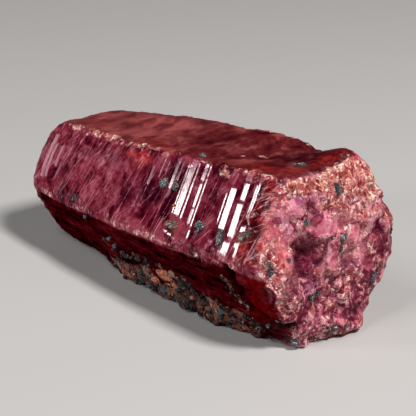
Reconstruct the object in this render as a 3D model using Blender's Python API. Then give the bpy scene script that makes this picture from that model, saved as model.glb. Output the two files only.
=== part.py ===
"""Raw ruby crystal: one six-sided corundum prism lying on a side face.

The prism runs along X.  Its small, worn end is at -X and its broken end is at
+X.  The prism narrows towards -X, its long edges are rounded and chipped, and
a little of the rock that it grew in is still fused along its front foot.
The whole crystal is one solid.  All lengths below are in millimetres.
"""
import math

import bmesh
import bpy
import numpy as np

NAME = "ruby_crystal"
MM = 0.001

# ---------------------------------------------------------------- dimensions
STATION = 22.5                    # sections are given at x = -22.5, 0, +22.5
# corners of the six-sided section, (y, z) at the small end, middle, broken end
BACK_WAIST = ((9.5, 8.0), (10.9, 9.6), (11.7, 10.9))
BACK_TOP = ((5.0, 16.6), (5.2, 20.1), (5.1, 21.8))
FRONT_TOP = ((-4.3, 16.5), (-5.9, 18.6), (-6.7, 21.2))
FRONT_WAIST = ((-9.6, 7.9), (-11.0, 9.1), (-11.0, 10.5))
FRONT_FOOT = ((-4.5, 0.0), (-5.9, 0.0), (-5.5, 0.0))
BACK_FOOT = ((4.5, 0.0), (5.6, 0.0), (6.3, 0.0))
# side k of the section runs from corner k to corner k + 1:
# 0 upper back, 1 top, 2 front, 3 lower front, 4 foot, 5 lower back
CORNERS = (BACK_WAIST, BACK_TOP, FRONT_TOP, FRONT_WAIST, FRONT_FOOT, BACK_FOOT)
FOOT_SIDE = 4

EDGE_ROUND = 1.3                  # rounding measured along each face
EDGE_CHIP = 1.1                   # how much more the worst chips take
WAVE_HEIGHT = 0.16                # slow unevenness of the prism faces

BROKEN_END_X = 24.4               # middle of the broken end
# fall of the end towards each side: (depth, width)
BROKEN_FALL = ((0.9, 2.6), (2.1, 4.6), (2.1, 3.4), (0.8, 2.2), (0.6, 1.6), (1.8, 3.0))
BROKEN_FACET = 2.7                # size of the fracture facets
BROKEN_ROUGH = 0.55               # their height
BULGE = (3.0, 1.0, 2.4, 1.7, 0.4)     # y, z, half widths, height
PIT = (-5.3, 12.3, 1.7, 1.9, 1.2)     # y, z, half widths, depth

SMALL_END_X = -27.1
SMALL_FALL = ((3.0, 6.0), (1.4, 4.6), (0.4, 4.5), (1.7, 5.0), (2.9, 5.0), (3.2, 6.0))
SMALL_FACET = 3.6
SMALL_ROUGH = 0.35

BOWL = (13.5, 1.6, 3.6, 3.0, 0.7)     # x, y, half widths, depth, in the top
CHANNEL = (-1.2, 2.6, 0.35)           # y, half width, depth, along the top
CRUST = (-15.0, 21.0, 1.9)            # x from, x to, height, along the foot
NOTCH = (5.2, 0.9)                    # z below which the back is broken, depth

ORIGIN_SHIFT = (-1.183, 0.224)          # x, y of the middle of the crystal's box

SIDE_STEPS = 10                   # mesh steps on each side of the section
BLOCKS = 4                        # rows along the length = SIDE_STEPS * BLOCKS


# --------------------------------------------------------------------- noise
def lattice(i, j, k, seed):
    """A repeatable number from 0 to 1 for each whole-number point."""
    h = (i * 374761393 + j * 668265263 + k * 1442695041 + seed * 1274126177) & 0xFFFFFFFF
    h = ((h ^ (h >> 13)) * 1274126177) & 0xFFFFFFFF
    h = ((h ^ (h >> 15)) * 668265263) & 0xFFFFFFFF
    return ((h ^ (h >> 16)) & 0xFFFFFF) / float(0xFFFFFF)


def noise(p, size, seed):
    """Smooth gradient noise, about -1 to 1, with lumps of the given size."""
    q = np.asarray(p, float) / size
    base = np.floor(q).astype(np.int64)
    f = q - base
    w = f * f * f * (f * (f * 6.0 - 15.0) + 10.0)
    total = np.zeros(len(q))
    for a in (0, 1):
        for b in (0, 1):
            for c in (0, 1):
                cell = base + (a, b, c)
                turn = lattice(cell[:, 0], cell[:, 1], cell[:, 2], seed) * 2.0 * math.pi
                rise = lattice(cell[:, 0], cell[:, 1], cell[:, 2], seed + 57) * 2.0 - 1.0
                flat = np.sqrt(1.0 - rise * rise)
                d = f - (a, b, c)
                dot = (d[:, 0] * flat * np.cos(turn) + d[:, 1] * flat * np.sin(turn)
                       + d[:, 2] * rise)
                weight = (np.where(a, w[:, 0], 1.0 - w[:, 0])
                          * np.where(b, w[:, 1], 1.0 - w[:, 1])
                          * np.where(c, w[:, 2], 1.0 - w[:, 2]))
                total += weight * dot
    return total * 1.6


def facets(y, z, size, tilt, seed):
    """Fracture facets: flat patches, each with its own tilt and level."""
    u, v = y / size, z / size
    iu, iv = np.floor(u).astype(np.int64), np.floor(v).astype(np.int64)
    weight = np.zeros(len(u))
    height = np.zeros(len(u))
    zero = np.zeros(len(u), np.int64)
    for a in (-1, 0, 1):
        for b in (-1, 0, 1):
            ci, cj = iu + a, iv + b
            cu = ci + 0.15 + 0.7 * lattice(ci, cj, zero, seed)
            cv = cj + 0.15 + 0.7 * lattice(ci, cj, zero, seed + 1)
            du, dv = u - cu, v - cv
            near = np.exp(-9.0 * (du * du + dv * dv))
            gu = (lattice(ci, cj, zero, seed + 2) - 0.5) * 2.0
            gv = (lattice(ci, cj, zero, seed + 3) - 0.5) * 2.0
            level = (lattice(ci, cj, zero, seed + 4) - 0.5) * 0.9
            height += near * (level + tilt * (gu * du + gv * dv))
            weight += near
    return height / weight


def smooth(t):
    t = np.clip(t, 0.0, 1.0)
    return t * t * (3.0 - 2.0 * t)


# ---------------------------------------------------------------------- form
def section(x):
    """The six corners at x: a smooth curve through the three given sections."""
    u = (x[:, None, None] + STATION) / (2.0 * STATION)
    c = np.array(CORNERS)
    return (c[:, 0] * (1 - u) * (1 - 2 * u) + c[:, 1] * 4 * u * (1 - u)
            + c[:, 2] * u * (2 * u - 1))


def falls(y, z, corners, table):
    """How far an end surface drops towards the six sides."""
    total = np.zeros(len(y))
    for k, (depth, width) in enumerate(table):
        a, b = corners[k], corners[(k + 1) % 6]
        along = (b - a) / np.linalg.norm(b - a)
        away = (y - a[0]) * -along[1] + (z - a[1]) * along[0]
        total += (depth * np.clip(1.0 - np.maximum(away, 0.0) / width, 0.0, 1.0) ** 1.3) ** 3
    return total ** (1.0 / 3.0)


BIG = section(np.array([STATION]))[0]
SMALL = section(np.array([-STATION]))[0]


def blob(u, v, at):
    return at[4] * np.exp(-((u - at[0]) / at[2]) ** 2 - ((v - at[1]) / at[3]) ** 2)


def broken_end(y, z):
    flat = np.stack([np.zeros(len(y)), y, z], 1)
    x = BROKEN_END_X - falls(y, z, BIG, BROKEN_FALL)
    x += blob(y, z, BULGE) - blob(y, z, PIT)
    x += BROKEN_ROUGH * facets(y, z, BROKEN_FACET, 1.5, 11)
    return x + 0.22 * noise(flat, 1.6, 12)


def small_end(y, z):
    flat = np.stack([np.zeros(len(y)), y, z], 1)
    x = SMALL_END_X + falls(y, z, SMALL, SMALL_FALL)
    x += SMALL_ROUGH * facets(y, z, SMALL_FACET, 1.2, 21)
    return x + 0.15 * noise(flat, 2.2, 22)


def skin(side, f, x):
    """Points of the prism's sides: side number, place along it, x."""
    n = np.arange(len(x))
    c = section(x)
    a, b = c[n, side], c[n, (side + 1) % 6]
    before, after = c[n, (side - 1) % 6], c[n, (side + 2) % 6]
    run = b - a
    size = np.linalg.norm(run, axis=1)
    along = run / size[:, None]
    out = np.stack([along[:, 1], -along[:, 0]], 1)
    yz = a + run * f[:, None]
    normal = out.copy()
    here = np.stack([x, yz[:, 0], yz[:, 1]], 1)
    worn = 0.5 + 0.5 * noise(here * (0.55, 1.0, 1.0), 4.2, 31)
    reach = EDGE_ROUND + EDGE_CHIP * smooth((worn - 0.45) / 0.45)
    for corner, s, other, toward in ((a, f * size, before, -1), (b, (1 - f) * size, after, 1)):
        edge = (corner - other if toward < 0 else other - corner)
        edge = edge / np.linalg.norm(edge, axis=1)[:, None]
        out2 = np.stack([edge[:, 1], -edge[:, 0]], 1)
        middle = out + out2
        middle = middle / np.linalg.norm(middle, axis=1)[:, None]
        half = np.abs((along * middle).sum(1))
        q = np.clip(1.0 - s / reach, 0.0, 1.0)
        yz -= middle * (reach * half * 0.5 * q * q)[:, None]
        normal += (middle - normal) * q[:, None]
    normal = normal / np.linalg.norm(normal, axis=1)[:, None]

    # slow unevenness, the same on both sides of every edge
    lift = WAVE_HEIGHT * noise(here * (0.5, 1, 1), 6.0, 41) + 0.06 * noise(here, 2.0, 42)
    # the top: a shallow channel along it and a hollow near the broken end
    top = smooth((normal[:, 1] - 0.6) / 0.35)
    lift -= top * CHANNEL[2] * np.exp(-((yz[:, 0] - CHANNEL[0]) / CHANNEL[1]) ** 2)
    lift -= top * blob(x, yz[:, 0], BOWL)
    # rock fused along the front foot
    low = np.exp(-((yz[:, 1] - 1.6) / 1.9) ** 2) * smooth((-yz[:, 0] - 3.0) / 1.5)
    span = smooth((x - CRUST[0]) / 9.0) * smooth((CRUST[1] - x) / 5.0)
    lift += CRUST[2] * low * span * (0.85 + 0.4 * noise(here, 2.6, 43))
    # the broken back foot near the broken end
    back = smooth((normal[:, 0] - 0.3) / 0.4) * smooth((NOTCH[0] - yz[:, 1]) / 0.8)
    lift -= NOTCH[1] * back * smooth((x - 17.0) / 6.0)
    yz = yz + normal * lift[:, None]
    return yz, normal


def place(side, f, rho, x):
    """Final positions: x from -STATION to STATION on the sides, rho < 1 on the ends."""
    far, near = np.full(len(x), STATION), np.full(len(x), -STATION)
    rim_hi, _ = skin(side, f, far)
    rim_lo, _ = skin(side, f, near)
    reach_hi = broken_end(rim_hi[:, 0], rim_hi[:, 1])
    reach_lo = small_end(rim_lo[:, 0], rim_lo[:, 1])
    xx = (x + smooth((x - STATION + 9.0) / 9.0) * (reach_hi - STATION)
          + smooth((-x - STATION + 9.0) / 9.0) * (reach_lo + STATION))
    yz, normal = skin(side, f, xx)
    # the prism turns in a little at both ends
    for gap in (reach_hi - xx, xx - reach_lo):
        q = np.clip(1.0 - gap / 1.1, 0.0, 1.0)
        yz -= normal * (0.32 * q * q)[:, None]
    # the ends: the rim shrinks towards the axis
    hub_hi, hub_lo = BIG.mean(0), SMALL.mean(0)
    end = np.sign(x)
    on_end = rho < 0.9999
    hub = np.where((end > 0)[:, None], hub_hi, hub_lo)
    yz = np.where(on_end[:, None], hub + (yz - hub) * rho[:, None], yz)
    up = broken_end(yz[:, 0], yz[:, 1])
    down = small_end(yz[:, 0], yz[:, 1])
    xx = np.where(on_end, np.where(end > 0, up, down), xx)
    zz = yz[:, 1]
    # the foot is flat where it carries the crystal
    foot = (side == FOOT_SIDE) & ~on_end & (np.abs(x) < STATION - 1.0) & (f > 0.14) & (f < 0.86)
    zz = np.where(foot, 0.0, np.maximum(zz, 0.0))
    return np.stack([xx - ORIGIN_SHIFT[0], yz[:, 0] - ORIGIN_SHIFT[1], zz], 1)


# ---------------------------------------------------------------------- mesh
def prism():
    """A unit six-sided prism along Z, evenly divided, with evenly divided ends."""
    bm = bmesh.new()
    bmesh.ops.create_cone(bm, cap_ends=True, cap_tris=True, segments=6,
                          radius1=1.0, radius2=1.0, depth=2.0)
    long_edges = [e for e in bm.edges if abs(e.verts[0].co.z - e.verts[1].co.z) > 1.0]
    bmesh.ops.subdivide_edges(bm, edges=long_edges, cuts=BLOCKS - 1)
    bmesh.ops.subdivide_edges(bm, edges=bm.edges[:], cuts=SIDE_STEPS - 1, use_grid_fill=True)
    return bm


def shape(bm):
    """Carry every point of the unit prism to its place on the crystal."""
    co = np.array([v.co[:] for v in bm.verts])
    turn = np.degrees(np.arctan2(co[:, 1], co[:, 0])) % 360.0
    # corners of the unit prism stand at 30, 90, ... or 0, 60, ... degrees
    first = min(math.degrees(math.atan2(v.co.y, v.co.x)) % 60.0
                for v in bm.verts if v.co.xy.length > 0.999)
    turn = (turn - first + 1e-4) % 360.0 - 1e-4
    side = np.clip(np.floor((turn + 1e-3) / 60.0), 0, 5).astype(int)
    inner = np.radians(turn - side * 60.0 - 30.0)
    f = np.clip(0.5 + math.cos(math.radians(30.0)) * np.tan(inner), 0.0, 1.0)
    radius = np.hypot(co[:, 0], co[:, 1])
    rho = np.clip(radius * np.cos(inner) / math.cos(math.radians(30.0)), 0.0, 1.0)
    spot = place(side, f, rho, co[:, 2] * STATION)
    for v, p in zip(bm.verts, spot):
        v.co = (p[0] * MM, p[1] * MM, p[2] * MM)


def material():
    mat = bpy.data.materials.new("ruby")
    mat.use_nodes = True
    bsdf = mat.node_tree.nodes["Principled BSDF"]
    bsdf.inputs["Base Color"].default_value = (0.22, 0.022, 0.045, 1.0)
    bsdf.inputs["Roughness"].default_value = 0.35
    bsdf.inputs["Metallic"].default_value = 0.0
    bsdf.inputs["IOR"].default_value = 1.77
    mat.diffuse_color = (0.22, 0.022, 0.045, 1.0)
    return mat


def main():
    for old in list(bpy.data.objects):
        bpy.data.objects.remove(old, do_unlink=True)
    group = bpy.data.collections.new("raw_ruby_crystal")
    bpy.context.scene.collection.children.link(group)

    bm = prism()
    shape(bm)
    bmesh.ops.triangulate(bm, faces=bm.faces[:])
    bmesh.ops.recalc_face_normals(bm, faces=bm.faces[:])
    mesh = bpy.data.meshes.new(NAME)
    bm.to_mesh(mesh)
    bm.free()
    mesh.materials.append(material())
    mesh.shade_smooth()
    mesh.set_sharp_from_angle(angle=math.radians(28.0))
    group.objects.link(bpy.data.objects.new(NAME, mesh))


main()
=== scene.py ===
import math

import bmesh
import bpy
import numpy as np
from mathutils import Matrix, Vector


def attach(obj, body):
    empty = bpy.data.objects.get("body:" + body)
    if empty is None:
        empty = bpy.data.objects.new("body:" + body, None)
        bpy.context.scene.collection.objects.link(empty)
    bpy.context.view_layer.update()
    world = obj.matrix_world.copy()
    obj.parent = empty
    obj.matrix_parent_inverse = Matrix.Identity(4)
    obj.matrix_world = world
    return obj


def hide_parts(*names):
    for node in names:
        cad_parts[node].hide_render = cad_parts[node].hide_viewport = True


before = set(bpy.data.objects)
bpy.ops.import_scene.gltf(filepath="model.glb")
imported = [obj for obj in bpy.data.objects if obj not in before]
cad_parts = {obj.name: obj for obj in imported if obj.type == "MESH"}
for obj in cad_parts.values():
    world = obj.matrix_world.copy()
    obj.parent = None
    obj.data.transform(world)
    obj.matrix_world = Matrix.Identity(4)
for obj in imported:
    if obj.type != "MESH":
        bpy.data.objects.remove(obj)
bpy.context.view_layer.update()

MM = 0.001

# =====================================================================
# Camera: the photograph's viewing angle
# =====================================================================
AZIMUTH, ELEVATION, DISTANCE, LENS = 50.51, 20.18, 218.69, 150.0
TARGET = np.array([2.133, -0.224, 10.01])          # mm
a, e = math.radians(AZIMUTH), math.radians(ELEVATION)
BACK = np.array([math.sin(a) * math.cos(e), -math.cos(a) * math.cos(e), math.sin(e)])
EYE = TARGET + BACK * DISTANCE

cam_data = bpy.data.cameras.new("camera")
cam_data.lens = LENS
cam_data.sensor_width = 36.0
cam_data.clip_start = 0.01
cam_data.clip_end = 50.0
cam = bpy.data.objects.new("camera", cam_data)
bpy.context.scene.collection.objects.link(cam)
cam.location = Vector(EYE * MM)
cam.rotation_euler = Vector(-BACK).to_track_quat('-Z', 'Y').to_euler()
bpy.context.scene.camera = cam

# =====================================================================
# Form of the crystal, millimetres (the same driving sizes as the CAD)
# =====================================================================
STATION = 22.5
BACK_WAIST = ((9.5, 8.0), (10.9, 9.6), (11.7, 10.9))
BACK_TOP = ((5.0, 16.6), (5.2, 20.1), (5.1, 21.8))
FRONT_TOP = ((-4.3, 16.5), (-5.9, 18.6), (-6.7, 21.2))
FRONT_WAIST = ((-9.6, 7.9), (-11.0, 9.1), (-11.0, 10.5))
FRONT_FOOT = ((-4.5, 0.0), (-5.9, 0.0), (-5.5, 0.0))
BACK_FOOT = ((4.5, 0.0), (5.6, 0.0), (6.3, 0.0))
CORNERS = (BACK_WAIST, BACK_TOP, FRONT_TOP, FRONT_WAIST, FRONT_FOOT, BACK_FOOT)
UPPER_BACK, TOP, FRONT, LOWER_FRONT, FOOT, LOWER_BACK = range(6)

EDGE_ROUND, EDGE_CHIP = 1.2, 1.1
BROKEN_END_X = 24.4
BROKEN_FALL = ((0.9, 2.6), (2.1, 4.6), (2.1, 3.4), (0.8, 2.2), (0.6, 1.6), (1.8, 3.0))
BROKEN_FACET, BROKEN_ROUGH = 2.7, 0.55
BULGE = (3.0, 1.0, 2.4, 1.7, 0.4)
PIT = (-5.3, 12.3, 1.7, 1.9, 1.2)
SMALL_END_X = -27.1
SMALL_FALL = ((3.0, 6.0), (1.4, 4.6), (0.4, 4.5), (1.7, 5.0), (2.9, 5.0), (3.2, 6.0))
SMALL_FACET, SMALL_ROUGH = 3.6, 0.35
BOWL = (13.5, 1.6, 3.6, 3.0, 0.7)
CHANNEL = (-1.2, 2.6, 0.35)
CRUST = (-15.0, 21.0, 1.9)
NOTCH = (5.2, 0.9)
CLEFT = ((16.8, 0.0), (17.6, 1.3), (18.1, 4.2), (19.6, 6.0), (20.9, 7.1), (23.6, 8.2))
ORIGIN_SHIFT = np.array([-1.183, 0.224, 0.0])

SIDE_STEPS = 47            # mesh steps on each of the six sides
ROW = 0.173                # mean spacing of the rows along the crystal


# ---------------------------------------------------------------- noise
def lattice(i, j, k, seed):
    h = (i * 374761393 + j * 668265263 + k * 1442695041 + seed * 1274126177) & 0xFFFFFFFF
    h = ((h ^ (h >> 13)) * 1274126177) & 0xFFFFFFFF
    h = ((h ^ (h >> 15)) * 668265263) & 0xFFFFFFFF
    return ((h ^ (h >> 16)) & 0xFFFFFF) / float(0xFFFFFF)


def noise(p, size, seed):
    q = np.asarray(p, float) / size
    base = np.floor(q).astype(np.int64)
    f = q - base
    w = f * f * f * (f * (f * 6.0 - 15.0) + 10.0)
    total = np.zeros(len(q))
    for a in (0, 1):
        for b in (0, 1):
            for c in (0, 1):
                i, j, k = base[:, 0] + a, base[:, 1] + b, base[:, 2] + c
                turn = lattice(i, j, k, seed) * 2.0 * math.pi
                rise = lattice(i, j, k, seed + 57) * 2.0 - 1.0
                flat = np.sqrt(1.0 - rise * rise)
                d = f - (a, b, c)
                dot = (d[:, 0] * flat * np.cos(turn) + d[:, 1] * flat * np.sin(turn)
                       + d[:, 2] * rise)
                weight = (np.where(a, w[:, 0], 1.0 - w[:, 0])
                          * np.where(b, w[:, 1], 1.0 - w[:, 1])
                          * np.where(c, w[:, 2], 1.0 - w[:, 2]))
                total += weight * dot
    return total * 1.6


def fractal(p, size, seed, octaves=3, gain=0.5):
    total, amp = np.zeros(len(p)), 1.0
    for o in range(octaves):
        total += amp * noise(p, size / 2 ** o, seed + 7 * o)
        amp *= gain
    return total


def facets(y, z, size, tilt, seed, sharp=9.0):
    """Flat patches, each with its own tilt and level, blended at their borders."""
    u, v = y / size, z / size
    iu, iv = np.floor(u).astype(np.int64), np.floor(v).astype(np.int64)
    weight = np.zeros(len(u))
    height = np.zeros(len(u))
    zero = np.zeros(len(u), np.int64)
    for a in (-1, 0, 1):
        for b in (-1, 0, 1):
            ci, cj = iu + a, iv + b
            cu = ci + 0.15 + 0.7 * lattice(ci, cj, zero, seed)
            cv = cj + 0.15 + 0.7 * lattice(ci, cj, zero, seed + 1)
            du, dv = u - cu, v - cv
            near = np.exp(-sharp * (du * du + dv * dv))
            gu = (lattice(ci, cj, zero, seed + 2) - 0.5) * 2.0
            gv = (lattice(ci, cj, zero, seed + 3) - 0.5) * 2.0
            level = (lattice(ci, cj, zero, seed + 4) - 0.5) * 0.9
            height += near * (level + tilt * (gu * du + gv * dv))
            weight += near
    return height / weight


def crags(u, v, size, seed):
    """Flat three-cornered facets between scattered heights, with sharp ridges."""
    a, b = u / size, v / size
    s = (a + b) * 0.3660254
    a, b = a + s, b + s
    i, j = np.floor(a).astype(np.int64), np.floor(b).astype(np.int64)
    fa, fb = a - i, b - j
    zero = np.zeros(len(u), np.int64)
    first = fa > fb
    middle = np.where(first, lattice(i + 1, j, zero, seed), lattice(i, j + 1, zero, seed))
    hi, lo = np.maximum(fa, fb), np.minimum(fa, fb)
    return ((1 - hi) * lattice(i, j, zero, seed) + (hi - lo) * middle
            + lo * lattice(i + 1, j + 1, zero, seed)) - 0.5


def plates(u, v, size, tilt, seed, long=1.0):
    """Blocks with flat tops at their own levels, with a sudden step between them."""
    a, b = u / size, v / (size * long)
    ia, ib = np.floor(a).astype(np.int64), np.floor(b).astype(np.int64)
    zero = np.zeros(len(u), np.int64)
    best = np.full(len(u), 9.0)
    height = np.zeros(len(u))
    rnd = np.zeros(len(u))
    for p in (-1, 0, 1):
        for q in (-1, 0, 1):
            i, j = ia + p, ib + q
            du = a - (i + 0.1 + 0.8 * lattice(i, j, zero, seed))
            dv = b - (j + 0.1 + 0.8 * lattice(i, j, zero, seed + 1))
            r = du * du + dv * dv
            gu = lattice(i, j, zero, seed + 2) * 2 - 1
            gv = lattice(i, j, zero, seed + 3) * 2 - 1
            own = lattice(i, j, zero, seed + 4)
            near = r < best
            best = np.where(near, r, best)
            height = np.where(near, (own - 0.5) + tilt * (gu * du + gv * dv), height)
            rnd = np.where(near, own, rnd)
    return height, rnd


def along_path(u, v, path):
    """Distance to a broken line."""
    best = np.full(len(u), 99.0)
    for (u0, v0), (u1, v1) in zip(path[:-1], path[1:]):
        du, dv = u1 - u0, v1 - v0
        t = np.clip(((u - u0) * du + (v - v0) * dv) / (du * du + dv * dv), 0, 1)
        best = np.minimum(best, np.hypot(u - u0 - t * du, v - v0 - t * dv))
    return best


def cells(p, size, seed, squeeze=(1.0, 1.0, 1.0)):
    """3-D cells: distance to the nearest centre, to the border, a random number
    for each cell, and a flat random tilt inside it."""
    q = np.asarray(p, float) / size / np.array(squeeze)
    base = np.floor(q).astype(np.int64)
    best = np.full(len(q), 9.0)
    second = np.full(len(q), 9.0)
    rnd = np.zeros(len(q))
    tilt = np.zeros(len(q))
    for a in (-1, 0, 1):
        for b in (-1, 0, 1):
            for c in (-1, 0, 1):
                i, j, k = base[:, 0] + a, base[:, 1] + b, base[:, 2] + c
                cx = i + lattice(i, j, k, seed)
                cy = j + lattice(i, j, k, seed + 1)
                cz = k + lattice(i, j, k, seed + 2)
                d = np.stack([q[:, 0] - cx, q[:, 1] - cy, q[:, 2] - cz], 1)
                r = np.sqrt((d * d).sum(1))
                closer = r < best
                second = np.where(closer, best, np.minimum(second, r))
                best = np.where(closer, r, best)
                g1 = lattice(i, j, k, seed + 3) * 2 - 1
                g2 = lattice(i, j, k, seed + 4) * 2 - 1
                g3 = lattice(i, j, k, seed + 5) * 2 - 1
                flat = d[:, 0] * g1 + d[:, 1] * g2 + d[:, 2] * g3
                rnd = np.where(closer, lattice(i, j, k, seed + 6), rnd)
                tilt = np.where(closer, flat, tilt)
    return best, second - best, rnd, tilt


def smooth(t):
    t = np.clip(t, 0.0, 1.0)
    return t * t * (3.0 - 2.0 * t)


def blob(u, v, at):
    return at[4] * np.exp(-((u - at[0]) / at[2]) ** 2 - ((v - at[1]) / at[3]) ** 2)


# ------------------------------------------------------- growth steps
def step_table(seed, low, high, tilt, first=-31.0, last=31.0):
    """A repeatable run of growth steps: (x, height) knots."""
    xs, hs, x, h, n = [first], [0.0], first, 0.0, 0
    one = np.array([0], np.int64)
    while x < last:
        n += 1
        r = [float(lattice(one + n, one, one, seed + k)[0]) for k in range(3)]
        w = low + (high - low) * r[0] ** 2
        slope = tilt * (r[1] * 1.6 - 0.8)
        x += w
        h = h * 0.55 + slope * w
        xs.append(x)
        hs.append(h)
        if r[2] > 0.45:                       # an abrupt riser after the tread
            x += 0.05
            h = h * 0.2
            xs.append(x)
            hs.append(h)
    return np.array(xs), np.array(hs)


STEPS_A = step_table(301, 0.25, 1.5, 0.075)
STEPS_B = step_table(401, 0.18, 0.9, 0.075)

# Bright growth facets that lean the same way: (x, width, from, to) with from
# and to as places down the front face, 0 at its top edge, 1 at its lower edge.
STRIPS = (
    (-20.6, 0.34, 0.20, 0.80), (-20.0, 0.24, 0.32, 0.78), (-19.0, 0.16, 0.30, 0.62),
    (-1.05, 0.28, 0.20, 0.43), (0.62, 0.18, 0.04, 0.31), (1.6, 0.12, 0.10, 0.26),
    (3.41, 0.38, 0.04, 0.41), (4.3, 0.10, 0.06, 0.30), (5.5, 0.16, 0.05, 0.66),
    (6.4, 0.80, 0.0, 0.655), (7.36, 0.22, 0.03, 0.68),
    (8.85, 0.50, 0.02, 0.225), (8.93, 0.34, 0.232, 0.52),
    (8.98, 0.40, 0.526, 0.71), (9.52, 0.22, 0.02, 0.16), (9.58, 0.18, 0.18, 0.73),
    (9.66, 0.22, 0.75, 0.86), (13.9, 0.16, 0.26, 0.60),
    (14.9, 0.90, 0.20, 0.662), (15.25, 0.40, 0.672, 0.745), (15.5, 0.62, 0.76, 0.835), (15.85, 0.46, 0.85, 0.93),
    (16.88, 0.86, -0.03, 0.112), (16.86, 0.80, 0.122, 0.322), (16.84, 0.86, 0.334, 0.715),
    (16.66, 0.90, 0.745, 0.965),
    (18.66, 0.20, 0.11, 0.47), (19.02, 0.22, 0.03, 0.52), (18.45, 0.60, 0.56, 0.635),
    (18.36, 0.62, 0.72, 0.80), (18.5, 0.36, 0.80, 0.90),
    (5.55, 0.62, 0.835, 0.875), (6.45, 0.55, 0.86, 0.905), (7.3, 0.50, 0.885, 0.925),
    (13.8, 0.60, 0.79, 0.83), (14.65, 0.45, 0.85, 0.885),
)


def strip_height(x0, f):
    h = np.zeros(len(x0))
    on = np.zeros(len(x0))
    for x, w, f0, f1 in STRIPS:
        lean = math.tan(math.radians(15.8 - 0.24 * x))
        ends = smooth((f - f0) / 0.010) * smooth((f1 - f) / 0.010)
        run = (x0 - (x - w / 2)) / w
        tread = np.where((run >= 0) & (run <= 1), (1.0 - run) * w * lean, 0.0)
        riser = np.where((run < 0) & (run > -0.08 / w), (1 + run * w / 0.08) * w * lean, 0.0)
        h = np.maximum(h, (tread + riser) * ends)
        on = np.maximum(on, np.where((run > -0.02) & (run < 1.02), ends, 0.0))
    return h, on


# ---------------------------------------------------------------- form
def section(x):
    u = (x[:, None, None] + STATION) / (2.0 * STATION)
    c = np.array(CORNERS)
    return (c[:, 0] * (1 - u) * (1 - 2 * u) + c[:, 1] * 4 * u * (1 - u)
            + c[:, 2] * u * (2 * u - 1))


BIG = section(np.array([STATION]))[0]
SMALL = section(np.array([-STATION]))[0]


def falls(y, z, corners, table):
    total = np.zeros(len(y))
    for k, (depth, width) in enumerate(table):
        p, q = corners[k], corners[(k + 1) % 6]
        along = (q - p) / np.linalg.norm(q - p)
        away = (y - p[0]) * -along[1] + (z - p[1]) * along[0]
        total += (depth * np.clip(1.0 - np.maximum(away, 0.0) / width, 0.0, 1.0) ** 1.3) ** 3
    return total ** (1.0 / 3.0)


HOLLOWS = ((-4.5, 11.4, 1.4, 1.3, 0.8), (-5.2, 9.4, 1.0, 1.2, 0.4), (-4.2, 17.8, 0.9, 0.7, 0.45), (3.2, 2.7, 1.2, 0.9, 0.45), (7.4, 12.4, 1.0, 0.9, 0.4),
           (1.9, 9.5, 0.9, 0.7, 0.45), (-6.4, 9.4, 0.8, 1.0, 0.4), (-2.2, 6.3, 0.8, 0.7, 0.45),
           (5.4, 8.6, 1.0, 0.8, 0.4), (-0.4, 7.2, 0.5, 0.8, 0.3), (-5.6, 4.0, 0.6, 1.0, 0.35))
CLEAR = ((-3.8, 8.0, 0.85, 1.35, 0.5), (-0.75, 10.2, 0.70, 1.40, 0.1), (2.6, 5.0, 1.7, 1.1, -0.4),
         (-1.2, 15.0, 2.3, 1.1, -0.15), (-3.6, 15.6, 1.0, 1.1, 0.3), (5.0, 3.2, 1.2, 1.2, 0.3),
         (-3.2, 2.3, 1.1, 0.9, 0.3), (2.2, 13.6, 1.6, 1.2, 0.25), (6.2, 10.4, 0.9, 0.9, 0.2),
         (-6.9, 6.6, 0.7, 1.2, 0.2), (0.9, 2.6, 0.9, 0.9, 0.3), (-2.0, 4.2, 0.6, 0.9, -0.3),
         (4.1, 8.0, 0.8, 1.1, -0.3), (-7.6, 13.6, 0.7, 1.5, 0.2), (0.6, 7.2, 0.7, 0.9, 0.4))


def clear_parts(y, z):
    """Where the break shows one larger clear face."""
    flat = np.stack([np.zeros(len(y)), y, z], 1)
    wy, wz = y + 0.5 * noise(flat, 1.5, 77), z + 0.5 * noise(flat, 1.5, 78)
    on = np.zeros(len(y))
    lean = np.zeros(len(y))
    for cy, cz, ry, rz, g in CLEAR:
        r = np.hypot((wy - cy) / ry, (wz - cz) / rz)
        near = smooth((1.15 - r) / 0.25)
        lean = np.where(near > on, g * (y - cy) - 0.35 * g * (z - cz), lean)
        on = np.maximum(on, near)
    return on, lean


def broken_end(y, z, fine=True):
    flat = np.stack([np.zeros(len(y)), y, z], 1)
    x = BROKEN_END_X - falls(y, z, BIG, BROKEN_FALL)
    x += blob(y, z, BULGE) - blob(y, z, PIT)
    x += BROKEN_ROUGH * facets(y, z, BROKEN_FACET, 1.5, 11, 14.0 if fine else 9.0)
    x += 0.22 * noise(flat, 1.6, 12)
    if fine:
        wy, wz = y + 0.3 * noise(flat, 1.3, 73), z + 0.3 * noise(flat, 1.3, 74)
        for at in HOLLOWS:
            x -= blob(wy, wz, at)
        clear, lean = clear_parts(y, z)
        rough = 1.0 - 0.85 * clear
        x += 0.85 * clear * lean
        x += 0.85 * rough * crags(wy + 0.3 * wz, wz * 0.7, 2.1, 61)
        x += 0.15 * rough * plates(wy + 0.25 * wz, wz, 1.25, 1.2, 64, 1.7)[0]
        x += 0.16 * rough * crags(wy, wz * 0.8, 0.95, 67)
        bevel = smooth((z - 16.9 + 0.25 * y + 0.7 * noise(flat, 1.6, 115)) / 1.6)
        x += 0.24 * bevel * plates(wy, wz, 0.46, 1.0, 68, 3.6)[0]
    return x


def small_end(y, z, fine=True):
    flat = np.stack([np.zeros(len(y)), y, z], 1)
    x = SMALL_END_X + falls(y, z, SMALL, SMALL_FALL)
    x += SMALL_ROUGH * facets(y, z, SMALL_FACET, 1.2, 21)
    x += 0.15 * noise(flat, 2.2, 22)
    if fine:
        x += 0.45 * crags(y, z, 2.1, 71) + 0.16 * crags(y, z, 0.8, 72)
    return x


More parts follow.
